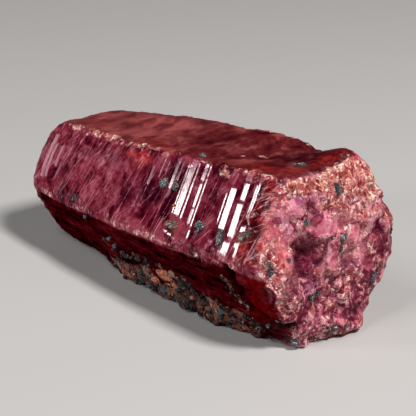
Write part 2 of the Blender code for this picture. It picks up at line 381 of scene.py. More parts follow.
def skin(side, f, x, x0=None):
    """Points of the prism's sides, their normals, the distance to the nearest long edge, and the points in 3-D."""
    if x0 is None:
        x0 = x
    n = np.arange(len(x))
    c = section(x)
    p, q = c[n, side], c[n, (side + 1) % 6]
    before, after = c[n, (side - 1) % 6], c[n, (side + 2) % 6]
    run = q - p
    size = np.linalg.norm(run, axis=1)
    along = run / size[:, None]
    out = np.stack([along[:, 1], -along[:, 0]], 1)
    yz = p + run * f[:, None]
    normal = out.copy()
    here = np.stack([x, yz[:, 0], yz[:, 1]], 1)
    worn = 0.5 + 0.5 * noise(here * (0.55, 1.0, 1.0), 4.2, 31)
    reach = EDGE_ROUND + EDGE_CHIP * smooth((worn - 0.45) / 0.45)
    reach = reach * (1.0 + 0.35 * noise(here, 1.1, 32))
    crisp = smooth((x - 0.5) / 3.0) * smooth((20.0 - x) / 1.5)
    reach_top = reach * (1.0 - 0.62 * crisp)
    for corner, s, other, toward in ((p, f * size, before, -1), (q, (1 - f) * size, after, 1)):
        edge = (corner - other if toward < 0 else other - corner)
        edge = edge / np.linalg.norm(edge, axis=1)[:, None]
        out2 = np.stack([edge[:, 1], -edge[:, 0]], 1)
        middle = out + out2
        middle = middle / np.linalg.norm(middle, axis=1)[:, None]
        half = np.abs((along * middle).sum(1))
        at_top = ((side == FRONT) & (toward < 0)) | ((side == TOP) & (toward > 0))
        wide = np.where(at_top, reach_top, reach)
        at_waist = ((side == UPPER_BACK) & (toward < 0)) | ((side == LOWER_BACK) & (toward > 0))
        wide = np.where(at_waist, wide * (1.0 + 1.5 * smooth((x - 18.0) / 4.0)), wide)
        t = np.clip(1.0 - s / wide, 0.0, 1.0)
        yz -= middle * (wide * half * 0.5 * t * t)[:, None]
        normal += (middle - normal) * t[:, None]
    normal = normal / np.linalg.norm(normal, axis=1)[:, None]
    edge_gap = np.minimum(f, 1 - f) * size           # mm to the nearest long edge
    return yz, normal, edge_gap, here


def lifts(side, f, x, x0, yz, normal, edge_gap, here):
    """How far each point of the sides stands out, and the masks that go with it."""
    top = smooth((normal[:, 1] - 0.75) / 0.2)
    front = smooth((-normal[:, 0] - 0.6) / 0.2) * smooth((normal[:, 1] - 0.15) / 0.25)
    low = smooth((-normal[:, 0] - 0.5) / 0.2) * smooth((-normal[:, 1] - 0.1) / 0.2)
    calm = 1.0 - 0.75 * front
    lift = calm * (0.13 * noise(here * (0.5, 1, 1), 6.0, 41) + 0.05 * noise(here, 2.0, 42))

    # growth steps across every prism face, fading in and out
    patch_a = smooth(0.55 + 0.9 * noise(here * (1.0, 0.35, 0.35), 4.0, 51))
    patch_b = smooth(0.5 + 0.9 * noise(here * (1.0, 0.5, 0.5), 3.0, 52))
    ha = np.interp(x0, *STEPS_A)
    hb = np.interp(x0 + 0.4 * noise(here, 5.0, 53), *STEPS_B)
    strips, on_strip = strip_height(x0, f)
    is_front = side == FRONT
    strips = np.where(is_front, strips, 0.0)
    on_strip = np.where(is_front, on_strip, 0.0)
    near_strips = np.where(is_front, smooth((x0 + 2.0) / 2.0) * smooth((20.5 - x0) / 1.0), 0.0)
    steps = (0.55 * ha * patch_a + 0.5 * hb * patch_b) * (1.0 - 0.8 * near_strips)
    lift += steps * (1.0 - 0.5 * top)
    lift += strips

    # top: channel and hollow
    lift -= top * CHANNEL[2] * np.exp(-((yz[:, 0] - CHANNEL[0]) / CHANNEL[1]) ** 2)
    lift -= top * blob(x, yz[:, 0], BOWL)
    lift += top * 0.06 * fractal(here * (0.6, 1.4, 1.0), 2.4, 54)
    ridge_top = np.exp(-((yz[:, 0] - 4.8) / 1.9) ** 2) * smooth((yz[:, 1] - 16.5) / 2.0)
    lift -= ridge_top * 0.72 * np.exp(-((x - 15.8) / 2.0) ** 2)
    lift += ridge_top * 0.30 * np.exp(-((x - 20.4) / 1.6) ** 2)

    # lower front: ridges along the crystal
    ridge = 1.0 - np.abs(noise(here * (0.16, 1.0, 1.0), 1.7, 55)) * 2.2
    lift += low * (0.28 * np.clip(ridge, -0.5, 1.0) - 0.12)
    lift += low * 0.12 * noise(here * (0.4, 1, 1), 0.9, 56)

    cleft = np.where(side == LOWER_FRONT, along_path(x, f * 11.0, CLEFT), 9.0)
    cleft = cleft + 0.25 * noise(here, 1.4, 133)
    cleft = np.exp(-(np.maximum(cleft - 0.26, 0.0) / 0.30) ** 2)
    lift -= 1.0 * cleft

    # rock fused along the front foot
    foot_band = np.exp(-((yz[:, 1] - 1.6) / 1.9) ** 2) * smooth((-yz[:, 0] - 3.0) / 1.5)
    span = smooth((x - CRUST[0]) / 9.0) * smooth((CRUST[1] - x) / 5.0)
    rock = foot_band * span
    near, border, rnd, tilt = cells(here, 2.0, 81)
    lump = np.clip(1.0 - near * near * 1.3, 0.0, 1.0)
    lift += CRUST[2] * rock * (0.62 + 0.5 * noise(here, 3.0, 43) + 0.30 * lump)
    lift += 0.22 * rock * crags(x, f * 11.0, 0.8, 82)

    # long edges and both ends of the sides are granular, chipped
    width = 0.6 + 1.0 * smooth(0.45 + noise(here * (0.6, 1, 1), 2.6, 57))
    grain_zone = np.clip(1.0 - edge_gap / width, 0.0, 1.0)
    grain_zone = np.where(side == FOOT, 0.0, grain_zone)
    late = (side == FRONT) | (side == TOP)
    end_zone = smooth((x0 - np.where(late, 20.9, 19.2) + np.where(late, 0.5, 0.9) * noise(here, 1.8, 58))
                      / np.where(late, 1.6, 3.0))
    small_zone = 0.6 * smooth((-x0 - 20.5) / 2.0)
    grain = np.maximum(np.maximum(grain_zone, end_zone), small_zone)
    _, border2, rnd2, tilt2 = cells(here, 0.62, 91)
    lift += grain * (0.11 * tilt2 + 0.07 * (rnd2 - 0.6))
    along = f * 12.0
    wild = np.where((side == FRONT) | (side == TOP), 0.8, 0.22)
    lift += wild * end_zone * (0.50 * crags(along + 0.6 * x, x, 1.5, 95) + 0.24 * crags(along, x, 0.7, 96))
    lift += np.maximum(grain_zone, 0) * 0.16 * crags(x, along, 0.62, 97)

    back = smooth((normal[:, 0] - 0.3) / 0.4) * smooth((NOTCH[0] - yz[:, 1]) / 0.8)
    lift -= NOTCH[1] * back * smooth((x - 17.0) / 6.0)
    masks = dict(top=top, front=front, low=low, rock=rock, grain=grain, strip=on_strip,
                 rnd=rnd2, tile=rnd, lump=lump, end_zone=end_zone, cleft=cleft,
                 edge_grain=np.maximum(grain_zone, small_zone))
    return lift, masks


def place(side, f, rho, x):
    far, near = np.full(len(x), STATION), np.full(len(x), -STATION)
    rim_hi = skin(side, f, far)[0]
    rim_lo = skin(side, f, near)[0]
    reach_hi = broken_end(rim_hi[:, 0], rim_hi[:, 1])
    reach_lo = small_end(rim_lo[:, 0], rim_lo[:, 1])
    xx = (x + smooth((x - STATION + 6.0) / 6.0) * (reach_hi - STATION)
          + smooth((-x - STATION + 9.0) / 9.0) * (reach_lo + STATION))
    yz, normal, gap_edge, here = skin(side, f, xx)
    lift, masks = lifts(side, f, xx, x, yz, normal, gap_edge, here)
    yz = yz + normal * lift[:, None]
    for gap in (reach_hi - xx, xx - reach_lo):
        t = np.clip(1.0 - gap / 1.1, 0.0, 1.0)
        yz -= normal * (0.32 * t * t)[:, None]
    hub_hi, hub_lo = BIG.mean(0), SMALL.mean(0)
    end = np.sign(x)
    on_end = rho < 0.9999
    hub = np.where((end > 0)[:, None], hub_hi, hub_lo)
    yz = np.where(on_end[:, None], hub + (yz - hub) * rho[:, None], yz)
    up = broken_end(yz[:, 0], yz[:, 1])
    down = small_end(yz[:, 0], yz[:, 1])
    xx = np.where(on_end, np.where(end > 0, up, down), xx)
    foot = (side == FOOT) & ~on_end & (np.abs(x) < STATION - 1.0) & (f > 0.14) & (f < 0.86)
    zz = np.where(foot, 0.0, np.maximum(yz[:, 1], 0.0))
    masks["on_end"] = on_end & (end > 0)
    masks["on_small"] = on_end & (end < 0)
    return np.stack([xx, yz[:, 0], zz], 1), normal, masks


# ---------------------------------------------------------------- mesh
def grid():
    """Side, place along it, rho and x of every point, and the faces."""
    knots = []
    for x, w, _, _ in STRIPS:
        knots += [x - w / 2 - 0.08, x - w / 2, x + w / 2]
    even = np.linspace(-STATION, STATION, int(round(2 * STATION / ROW)) + 1)
    knots = np.array(sorted(k for k in knots if abs(k) < STATION - 0.05))
    keep = [v for v in even if np.min(np.abs(knots - v)) > 0.07 or abs(abs(v) - STATION) < 1e-6]
    rows = np.array(sorted(keep + list(knots)))
    rows = rows[np.concatenate([[True], np.diff(rows) > 0.03])]
    n, m = SIDE_STEPS, len(rows)
    ring = 6 * n
    k = np.arange(ring)
    # points gather a little towards the long edges
    t = (k % n) / n
    t = t + 0.045 * np.sin(2 * np.pi * t) * -1.0
    side = np.tile(k // n, m)
    f = np.tile(t, m)
    x = np.repeat(rows, ring)
    rho = np.ones(len(x))
    i, j = np.meshgrid(np.arange(m - 1), k, indexing="ij")
    p = i * ring + j
    q = i * ring + (j + 1) % ring
    quads = np.stack([p, q, q + ring, p + ring], -1).reshape(-1, 4)
    middle = (rows[:-1] + rows[1:])[i.reshape(-1)] / 2
    step = np.diff(np.append(t[:n], 1.0))
    quad_at = (np.tile(k // n, m - 1), np.tile(t + step[k % n] / 2, m - 1), middle)
    faces = [tuple(v) for v in quads.tolist()]
    sides, fs, xs, rhos = [side], [f], [x], [rho]
    count = len(x)
    for end, row in ((1, m - 1), (-1, 0)):
        rim = row * ring
        ids = {}
        ls, lf, lr = [], [], []
        for r in range(n - 1, 0, -1):
            for s in range(6):
                for c in range(r):
                    ids[(r, s * r + c)] = count
                    count += 1
                    ls.append(s)
                    tt = c / r
                    lf.append(tt - 0.045 * math.sin(2 * math.pi * tt) * (r / n))
                    lr.append(r / n)
        hub = count
        count += 1
        ls.append(0); lf.append(0.0); lr.append(0.0)
        for c in range(ring):
            ids[(n, c)] = rim + c

        def pid(r, c):
            return hub if r == 0 else ids[(r, c % (6 * r))]
        for r in range(1, n + 1):
            for s in range(6):
                for c in range(r):
                    o1, o2 = pid(r, s * r + c), pid(r, s * r + c + 1)
                    i1 = pid(r - 1, s * (r - 1) + c)
                    tri = (o1, o2, i1)
                    faces.append(tri if end > 0 else tri[::-1])
                    if c < r - 1:
                        i2 = pid(r - 1, s * (r - 1) + c + 1)
                        tri = (o2, i2, i1)
                        faces.append(tri if end > 0 else tri[::-1])
        sides.append(np.array(ls)); fs.append(np.array(lf)); rhos.append(np.array(lr))
        xs.append(np.full(len(ls), end * STATION))
    return (np.concatenate(sides), np.concatenate(fs), np.concatenate(rhos),
            np.concatenate(xs), faces, quad_at)


side, f, rho, x0, faces, quad_at = grid()
spot, normal, masks = place(side, f, rho, x0)
raw = spot.copy()
spot = spot - ORIGIN_SHIFT

mesh = bpy.data.meshes.new("ruby_crystal_surface")
mesh.from_pydata((spot * MM).tolist(), [], faces)
mesh.update()
crystal = bpy.data.objects.new("ruby_crystal_surface", mesh)
bpy.context.scene.collection.objects.link(crystal)


def vector_attribute(me, name, columns):
    att = me.attributes.new(name, 'FLOAT_VECTOR', 'POINT')
    att.data.foreach_set("vector", np.stack(columns, 1).astype(np.float32).ravel())


# Faces of the break, of the granular edges and of the bright strips stay flat.
quads = len(quad_at[0])
soft = np.ones(len(faces), bool)
soft[quads:] = False
corner_of = np.array([v[:3] for v in faces])
rugged = np.maximum(masks["grain"], masks["rock"])
soft &= rugged[corner_of].mean(1) < 0.30
for x, w, f_from, f_to in STRIPS:
    inside = ((quad_at[0] == FRONT) & (quad_at[2] > x - w / 2 - 0.09) & (quad_at[2] < x + w / 2)
              & (quad_at[1] > f_from - 0.01) & (quad_at[1] < f_to + 0.01))
    soft[:quads] &= ~inside
mesh.polygons.foreach_set("use_smooth", soft)


# ---------------------------------------------------------------- zones
# Where each kind of surface lies, as masks that the material reads.
rx, ry, rz = raw[:, 0], raw[:, 1], raw[:, 2]
is_side = rho > 0.9999
top_m, front_m, low_m = (masks[k] * is_side for k in ("top", "front", "low"))
end_m = np.where(masks["on_end"], 1.0, smooth((x0 - 19.6 + 1.0 * noise(raw, 1.8, 58)) / 2.4))
near_end = 0.7 * noise(raw, 1.3, 58) + 0.3 * noise(raw, 0.5, 60)
end_m = np.where(~masks["on_end"] & ((side == FRONT) | (side == TOP)), smooth((rx - 21.9 + near_end) / 0.9), end_m)
end_m = np.where(masks["on_small"], 0.0, end_m)
red_band = ((side == FRONT) & ~masks["on_end"]) * smooth((f - 0.18) / 0.1) * smooth((0.84 - f) / 0.1)
end_m = end_m * (1.0 - 0.70 * red_band * smooth((22.8 - rx) / 0.8))
end_m = end_m * (1.0 - 0.92 * low_m * smooth((23.6 - rx) / 0.6))
small_m = np.where(masks["on_small"], 0.40, smooth((-x0 - 20.8 + 0.8 * noise(raw, 1.8, 59)) / 1.8))


def patch(u, v, cu, cv, ru, rv, hard=1.0):
    """A soft-edged patch."""
    return np.clip(1.35 * np.exp(-(((u - cu) / ru) ** 2 + ((v - cv) / rv) ** 2) * hard), 0, 1)


wob = fractal(raw, 2.2, 111)
fx, ff = x0 + 0.5 * wob, f + 0.05 * noise(raw, 1.6, 112)

# dark places: deep magenta patches in the ruby's own colour, and painted shade in the hollows of the break and down the
# cleft
dark = front_m * np.maximum.reduce([
    patch(fx, ff, 3.6, 0.22, 2.3, 0.17), patch(fx, ff, 0.2, 0.52, 2.6, 0.16),
    0.8 * patch(fx, ff, 4.6, 0.52, 1.0, 0.2), 0.75 * patch(fx, ff, -4.6, 0.60, 1.9, 0.13),
    0.55 * patch(fx, ff, -10.0, 0.26, 2.6, 0.07), 0.5 * patch(fx, ff, -15.5, 0.30, 2.2, 0.08),
    0.5 * patch(fx, ff, -17.5, 0.62, 1.3, 0.12), 0.75 * patch(fx, ff, 12.0, 0.36, 1.3, 0.16),
    0.6 * patch(fx, ff, 17.9, 0.45, 0.7, 0.3), 0.7 * patch(fx, ff, 10.9, 0.76, 0.9, 0.08),
    0.75 * patch(rx, ff, 19.4, 0.17, 0.9, 0.13), 0.7 * patch(rx, ff, 20.6, 0.30, 0.8, 0.07),
    0.65 * patch(rx, ff, 20.1, 0.52, 0.8, 0.10), 0.5 * patch(rx, ff, 21.0, 0.80, 0.9, 0.08)])
dark = np.maximum(dark, top_m * np.maximum.reduce([
    1.0 * patch(rx, ry, 17.4, 1.4, 4.4, 3.2), 0.5 * patch(rx, ry, 3.0, 0.0, 6.0, 2.0),
    0.4 * patch(rx, ry, 11.0, 1.0, 4.0, 1.5)]))
back_m = np.where((side == UPPER_BACK) | (side == LOWER_BACK), 1.0, 0.0) * is_side
back_m = np.maximum(back_m, np.where(masks["on_small"], 0.8, 0.0))
stretched = raw * (0.5, 1.0, 1.0)
dark = np.maximum(dark, back_m * 0.75 * smooth((noise(stretched, 4.4, 142) + 0.3 * noise(raw, 1.5, 144) - 0.12) / 0.35))
on_end = masks["on_end"]
eb = 0.35 * noise(raw, 0.9, 113)
# painted shade: the hollows of the break are darkened
for cy, cz, r, w in ((-4.6, 11.7, 1.4, 1.0), (-3.6, 12.3, 0.8, 0.9), (-5.6, 10.4, 1.0, 0.85), (-2.8, 10.7, 0.6, 0.4),
                     (-4.2, 9.6, 0.8, 0.6), (-3.9, 17.7, 0.85, 0.8), (3.1, 2.8, 1.2, 0.85), (4.6, 2.4, 0.9, 0.55),
                     (6.9, 12.5, 1.1, 0.85), (7.9, 10.9, 0.8, 0.6), (-6.4, 8.2, 0.8, 0.7), (2.0, 9.4, 0.7, 0.6),
                     (3.4, 8.9, 0.6, 0.5), (-2.2, 6.3, 0.7, 0.6), (-0.6, 6.2, 0.6, 0.4), (5.4, 8.6, 0.8, 0.55),
                     (-4.6, 15.8, 0.5, 0.4), (-5.6, 4.0, 0.6, 0.45), (6.4, 8.0, 0.6, 0.5)):
    dark = np.maximum(dark, np.where(on_end, w * patch(ry + eb, rz + 0.7 * eb, cy, cz, r, r), 0.0))
masks["cleft"] = masks["cleft"] * is_side
# painted shadow: the cleft on the lower face is darkened
dark = np.maximum(dark, masks["cleft"])

# pale silky veils in the ruby, with a painted sheen: a haze of reflected light, painted paler towards the small end on
# the front and the top
pale = front_m * (0.15 + 0.65 * smooth((-fx + 1.0) / 8.0))
pale = np.maximum(pale, front_m * 0.45 * patch(fx, ff, 9.0, 0.30, 2.0, 0.5))
pale = np.maximum(pale, front_m * 0.4 * patch(fx, ff, 14.5, 0.8, 2.6, 0.25))
pale = np.maximum(pale, top_m * smooth((-rx + 4.0) / 14.0) * 0.8)
pale = np.maximum(pale, small_m * 0.8)
pale = np.maximum(pale, back_m * 0.85 * smooth((noise(stretched, 5.6, 141) + 0.25 * noise(raw, 1.6, 145) + 0.25) / 0.55))

# painted glow: light let through near thin edges, painted into the colour
glow = np.maximum.reduce([
    1.0 * front_m * patch(rx, f, 22.6, 0.66, 0.75, 0.17), 0.85 * front_m * patch(rx, f, 22.2, 0.38, 0.6, 0.16), 0.70 * front_m * patch(rx + 0.3 * wob, f, 22.6, 0.56, 0.60, 0.20),
    front_m * 0.7 * patch(fx, ff, -4.1, 0.155, 1.5, 0.075), front_m * 0.45 * patch(fx, ff, -6.6, 0.13, 1.2, 0.06),
    np.where(on_end, 1.0 * patch(ry + 0.8 * eb, rz, -8.1, 12.6, 1.3, 2.7), 0.0),
    is_side * low_m * smooth((rx - 18.9 - 0.25 * (rz - 5.0)) / 0.8) * smooth((rz - 2.4) / 1.5),
    top_m * 0.8 * patch(rx + 0.3 * wob, ry, 20.9, 1.5, 1.0, 2.2), top_m * 0.5 * patch(rx, ry, -19.5, -2.0, 2.5, 1.2),
    top_m * 0.6 * patch(rx, ry, -4.0, -4.0, 2.5, 0.9), top_m * 0.85 * patch(rx, ry, 17.4, -4.6, 3.4, 1.0),
    top_m * 0.7 * patch(rx, ry, 20.4, -3.2, 1.2, 1.6)])
glow = np.maximum(glow, back_m * 0.20 * smooth((noise(stretched, 2.6, 143) + 0.5 * noise(raw, 0.9, 146) - 0.25) / 0.4))
glow = glow * (1.0 - masks["cleft"])

# sugary grains: edges, the bevel over the broken end, the worn small end
grain = masks["grain"]
worn_end = np.where((side == FRONT) | (side == TOP), smooth((rx - 21.7 + near_end) / 0.8), 1.0)
sugar = np.clip(np.maximum(masks["edge_grain"], masks["end_zone"] * worn_end) * (0.42 + 0.5 * noise(raw, 1.7, 114) + 0.35 * noise(raw, 5.0, 120)), 0, 1) * (1.0 - 0.93 * low_m)
bevel = np.where(on_end, smooth((rz - 16.7 + 0.25 * ry + 1.9 * noise(raw, 1.6, 115) + 0.9 * noise(raw, 0.7, 121)) / 2.6), 0.0)
bevel = np.maximum(bevel, np.where(on_end, 0.9 * patch(ry + eb, rz, -0.9, 17.3, 1.9, 0.8), 0.0))
left_rim = np.where(on_end, smooth((-ry - 7.0 + 1.2 * noise(raw, 1.3, 116) - 0.16 * (rz - 10)) / 1.6), 0.0)
right_rim = np.where(on_end, smooth((ry - 3.4 + 1.5 * noise(raw, 1.5, 118)) / 2.0) * smooth((rz - 9.0) / 3.0), 0.0)
spot_end = np.where(on_end, np.maximum.reduce([
    0.9 * patch(ry + eb, rz, -3.4, 5.0, 0.8, 0.7), 0.9 * patch(ry + eb, rz, -0.7, 4.3, 0.6, 0.7),
    0.7 * patch(ry + eb, rz, 1.2, 11.2, 0.9, 0.8), 0.6 * patch(ry + eb, rz, 3.6, 10.6, 1.3, 0.8),
    0.6 * patch(ry + eb, rz, -2.6, 12.6, 0.5, 1.0)]), 0)
flow = smooth((rx - 20.6 - 3.4 * f + 0.8 * noise(raw, 1.1, 119)) / 0.9) * front_m * is_side
sugar = np.maximum.reduce([sugar, 0.95 * bevel, 0.80 * left_rim, 0.45 * right_rim, spot_end,
                           0.40 * flow * smooth((0.30 - f) / 0.1),
                           0.9 * front_m * patch(fx, ff, 12.4, 0.07, 0.9, 0.06),
                           top_m * patch(rx, ry, 12.2, -0.7, 0.8, 0.5), top_m * 0.7 * patch(rx, ry, 10.3, -2.3, 0.4, 0.3),
                           0.35 * small_m])
rim_top = ((side == FRONT) | (side == TOP)) * is_side * np.where(side == FRONT, smooth((0.13 - f) / 0.09), smooth((f - 0.90) / 0.07))
rim_top = rim_top * smooth((2.5 - x0) / 3.0) * smooth((x0 + 21.5) / 2.0) * smooth(0.45 + 1.1 * noise(raw, 1.7, 122) + 0.4 * noise(raw, 0.7, 123))
sugar = np.maximum(sugar, 0.75 * rim_top)
lower_edge = front_m * is_side * smooth((f - 0.8) / 0.1) * smooth((21.5 - x0) / 2.0)
sugar = sugar * (1.0 - lower_edge * (0.50 + 0.5 * smooth(0.5 + 1.6 * noise(raw, 2.0, 134))))
sugar = sugar * (1.0 - 0.30 * np.where(on_end | (rx > 21.0), glow, 0.0))
sugar = sugar * (1.0 - np.clip(masks["rock"] * 2.0, 0, 1)) * (1.0 - np.clip(1.3 * dark, 0, 1))
warm = np.clip(np.maximum.reduce([bevel, spot_end, 0.5 * right_rim,
                                  0.8 * patch(rx, f, 12.4, 0.07, 1.5, 0.1), np.where(top_m > 0.3, 0.9, 0.0) * is_side]), 0, 1)
clear = np.where(on_end, clear_parts(ry, rz)[0], 0.0) * (1.0 - np.clip(sugar, 0, 1))
lilac = np.where(on_end, np.maximum.reduce([patch(ry, rz, -3.8, 8.0, 1.2, 1.6), 0.7 * patch(ry, rz, 5.6, 8.0, 1.4, 1.4),
                                            0.5 * patch(ry, rz, -6.5, 9.0, 1.2, 1.6)]), 0.0)

rock = np.clip(masks["rock"] * 1.7 * (0.8 + 0.6 * noise(raw, 1.5, 117)) - 0.30, 0, 1)
rust = front_m * np.maximum(patch(fx, ff, 6.9, 0.78, 0.9, 0.055), 0.7 * patch(fx, ff, 19.0, 0.66, 0.9, 0.06))
gloss = np.clip(front_m * smooth((x0 + 2.0) / 3.0) * smooth((20.0 - x0) / 2.0) * (1 - grain), 0, 1)

ember = front_m * smooth((rx - 16.8 + 0.8 * wob) / 2.2)
deep = np.where(on_end, np.maximum.reduce([
    w * patch(ry + eb, rz + eb, cy, cz, ry_, rz_) for cy, cz, ry_, rz_, w in (
        (-4.2, 10.3, 2.4, 2.8, 0.75), (7.3, 11.8, 1.5, 1.9, 0.6), (3.6, 2.8, 1.6, 1.2, 0.6), (5.6, 7.8, 1.4, 1.4, 0.45),
        (-2.0, 6.6, 1.7, 1.2, 0.5), (-3.4, 16.9, 1.8, 1.0, 0.6), (1.6, 9.4, 1.4, 1.2, 0.4),
        (0.5, 4.0, 4.6, 1.1, 0.70), (-1.5, 1.4, 3.0, 0.8, 0.60), (4.4, 2.0, 1.4, 0.8, 0.6), (8.6, 9.6, 0.9, 2.4, 0.5))]), 0.0)
vector_attribute(mesh, "zone_e", (warm, clear, lilac))
vector_attribute(mesh, "zone_f", (ember, deep, bevel))
blush = np.where(on_end, np.maximum.reduce([
    w * patch(ry + 1.4 * eb, rz + eb, cy, cz, ry_, rz_) for cy, cz, ry_, rz_, w in (
        (-1.2, 15.0, 2.4, 1.2, 0.95), (1.9, 13.9, 1.6, 1.1, 0.6), (-6.3, 14.2, 1.0, 1.4, 0.5), (2.6, 5.0, 1.7, 1.1, 0.85),
        (-4.4, 1.9, 1.6, 1.0, 0.5), (-7.0, 5.6, 0.9, 2.0, 0.6), (-0.8, 10.2, 0.7, 1.4, 0.8), (0.8, 2.6, 1.2, 0.7, 0.5),
        (3.8, 10.6, 1.1, 0.9, 0.6), (6.0, 14.4, 1.3, 0.8, 0.4), (1.0, 7.9, 1.1, 0.7, 0.5))]), 0.0)
# painted highlight: the bright strips near the small end get a paler colour that stands in for their reflection
faint_painted_strips = masks["strip"] * is_side * (x0 < -15.0)
vector_attribute(mesh, "zone_g", (blush, faint_painted_strips, rim_top))
# painted shade: the break gets darker towards its bottom and its lower right
lower_break_shade = np.where(on_end, np.maximum(smooth((10.0 - rz) / 3.0), 0.7 * smooth((ry - 3.0) / 3.0) * smooth((15.0 - rz) / 3.0)), 0.0)
# zone_h: the back faces, a painted highlight on the bright strips, and the painted shade low in the break
vector_attribute(mesh, "zone_h", (back_m, masks["strip"] * is_side * (x0 > -3.0), lower_break_shade))
vector_attribute(mesh, "zone_a", (sugar, rock, dark))
vector_attribute(mesh, "zone_b", (pale, glow, gloss))
vector_attribute(mesh, "zone_c", (top_m, low_m, end_m))
vector_attribute(mesh, "zone_d", (rust, small_m, masks["strip"]))


# =====================================================================
# Material helpers
# =====================================================================
class Nodes:
    """Short names for the shader nodes used here."""

    def __init__(self, name):
        self.mat = bpy.data.materials.new(name)
        self.mat.use_nodes = True
        self.tree = self.mat.node_tree
        self.bsdf = self.tree.nodes["Principled BSDF"]
        self.coord = self.tree.nodes.new("ShaderNodeTexCoord")

    def link(self, value, socket):
        if isinstance(value, bpy.types.NodeSocket):
            self.tree.links.new(value, socket)
        elif isinstance(value, (tuple, list)) and len(value) == 3 and socket.type == 'RGBA':
            socket.default_value = (*value, 1.0)
        else:
            socket.default_value = value

    def math(self, op, a, b=0.0, clamp=False):
        n = self.tree.nodes.new("ShaderNodeMath")
        n.operation = op
        n.use_clamp = clamp
        self.link(a, n.inputs[0])
        self.link(b, n.inputs[1])
        return n.outputs[0]

    def span(self, v, low, high, to_low=0.0, to_high=1.0, soft=True):
        n = self.tree.nodes.new("ShaderNodeMapRange")
        n.interpolation_type = 'SMOOTHSTEP' if soft else 'LINEAR'
        self.link(v, n.inputs["Value"])
        n.inputs["From Min"].default_value = low
        n.inputs["From Max"].default_value = high
        n.inputs["To Min"].default_value = to_low
        n.inputs["To Max"].default_value = to_high
        return n.outputs["Result"]

    def mix(self, fac, a, b, kind='MIX'):
        n = self.tree.nodes.new("ShaderNodeMix")
        n.data_type = 'RGBA'
        n.blend_type = kind
        n.clamp_factor = True
        self.link(fac, n.inputs[0])
        self.link(a, n.inputs[6])
        self.link(b, n.inputs[7])
        return n.outputs[2]

    def blend(self, fac, a, b):
        n = self.tree.nodes.new("ShaderNodeMix")
        n.data_type = 'FLOAT'
        n.clamp_factor = True
        self.link(fac, n.inputs[0])
        self.link(a, n.inputs[2])
        self.link(b, n.inputs[3])
        return n.outputs[0]

    def place(self, turn=(0, 0, 0), scale=(1, 1, 1), offset=(0, 0, 0)):
        """Object coordinates in millimetres, turned (degrees) and then stretched."""
        m = self.tree.nodes.new("ShaderNodeMapping")
        m.vector_type = 'POINT'
        m.inputs["Rotation"].default_value = [math.radians(t) for t in turn]
        self.tree.links.new(self.coord.outputs["Object"], m.inputs["Vector"])
        m.inputs["Scale"].default_value = (1000, 1000, 1000)
        m2 = self.tree.nodes.new("ShaderNodeMapping")
        m2.vector_type = 'POINT'
        m2.inputs["Scale"].default_value = scale
        m2.inputs["Location"].default_value = offset
        self.tree.links.new(m.outputs[0], m2.inputs["Vector"])
        return m2.outputs[0]

    def noise(self, vec, scale, detail=2.0, rough=0.5, distort=0.0):
        n = self.tree.nodes.new("ShaderNodeTexNoise")
        self.link(vec, n.inputs["Vector"])
        n.inputs["Scale"].default_value = scale
        n.inputs["Detail"].default_value = detail
        n.inputs["Roughness"].default_value = rough
        n.inputs["Distortion"].default_value = distort
        return n.outputs[0]

    def cells(self, vec, scale, feature='F1', random=1.0):
        n = self.tree.nodes.new("ShaderNodeTexVoronoi")
        n.feature = feature
        self.link(vec, n.inputs["Vector"])
        n.inputs["Scale"].default_value = scale
        n.inputs["Randomness"].default_value = random
        return n

    def parts(self, socket):
        n = self.tree.nodes.new("ShaderNodeSeparateXYZ")
        self.tree.links.new(socket, n.inputs[0])
        return n.outputs[0], n.outputs[1], n.outputs[2]

    def attribute(self, name):
        n = self.tree.nodes.new("ShaderNodeAttribute")
        n.attribute_name = name
        return self.parts(n.outputs["Vector"])

    def bump(self, height, distance, strength=1.0, below=None):
        n = self.tree.nodes.new("ShaderNodeBump")
        n.inputs["Strength"].default_value = strength
        n.inputs["Distance"].default_value = distance
        self.link(height, n.inputs["Height"])
        if below is not None:
            self.tree.links.new(below, n.inputs["Normal"])
        return n.outputs[0]


def srgb(r, g, b):
    """A colour given as 0-255 screen values."""
    return tuple(((v / 255 + 0.055) / 1.055) ** 2.4 if v > 10 else v / 255 / 12.92 for v in (r, g, b))


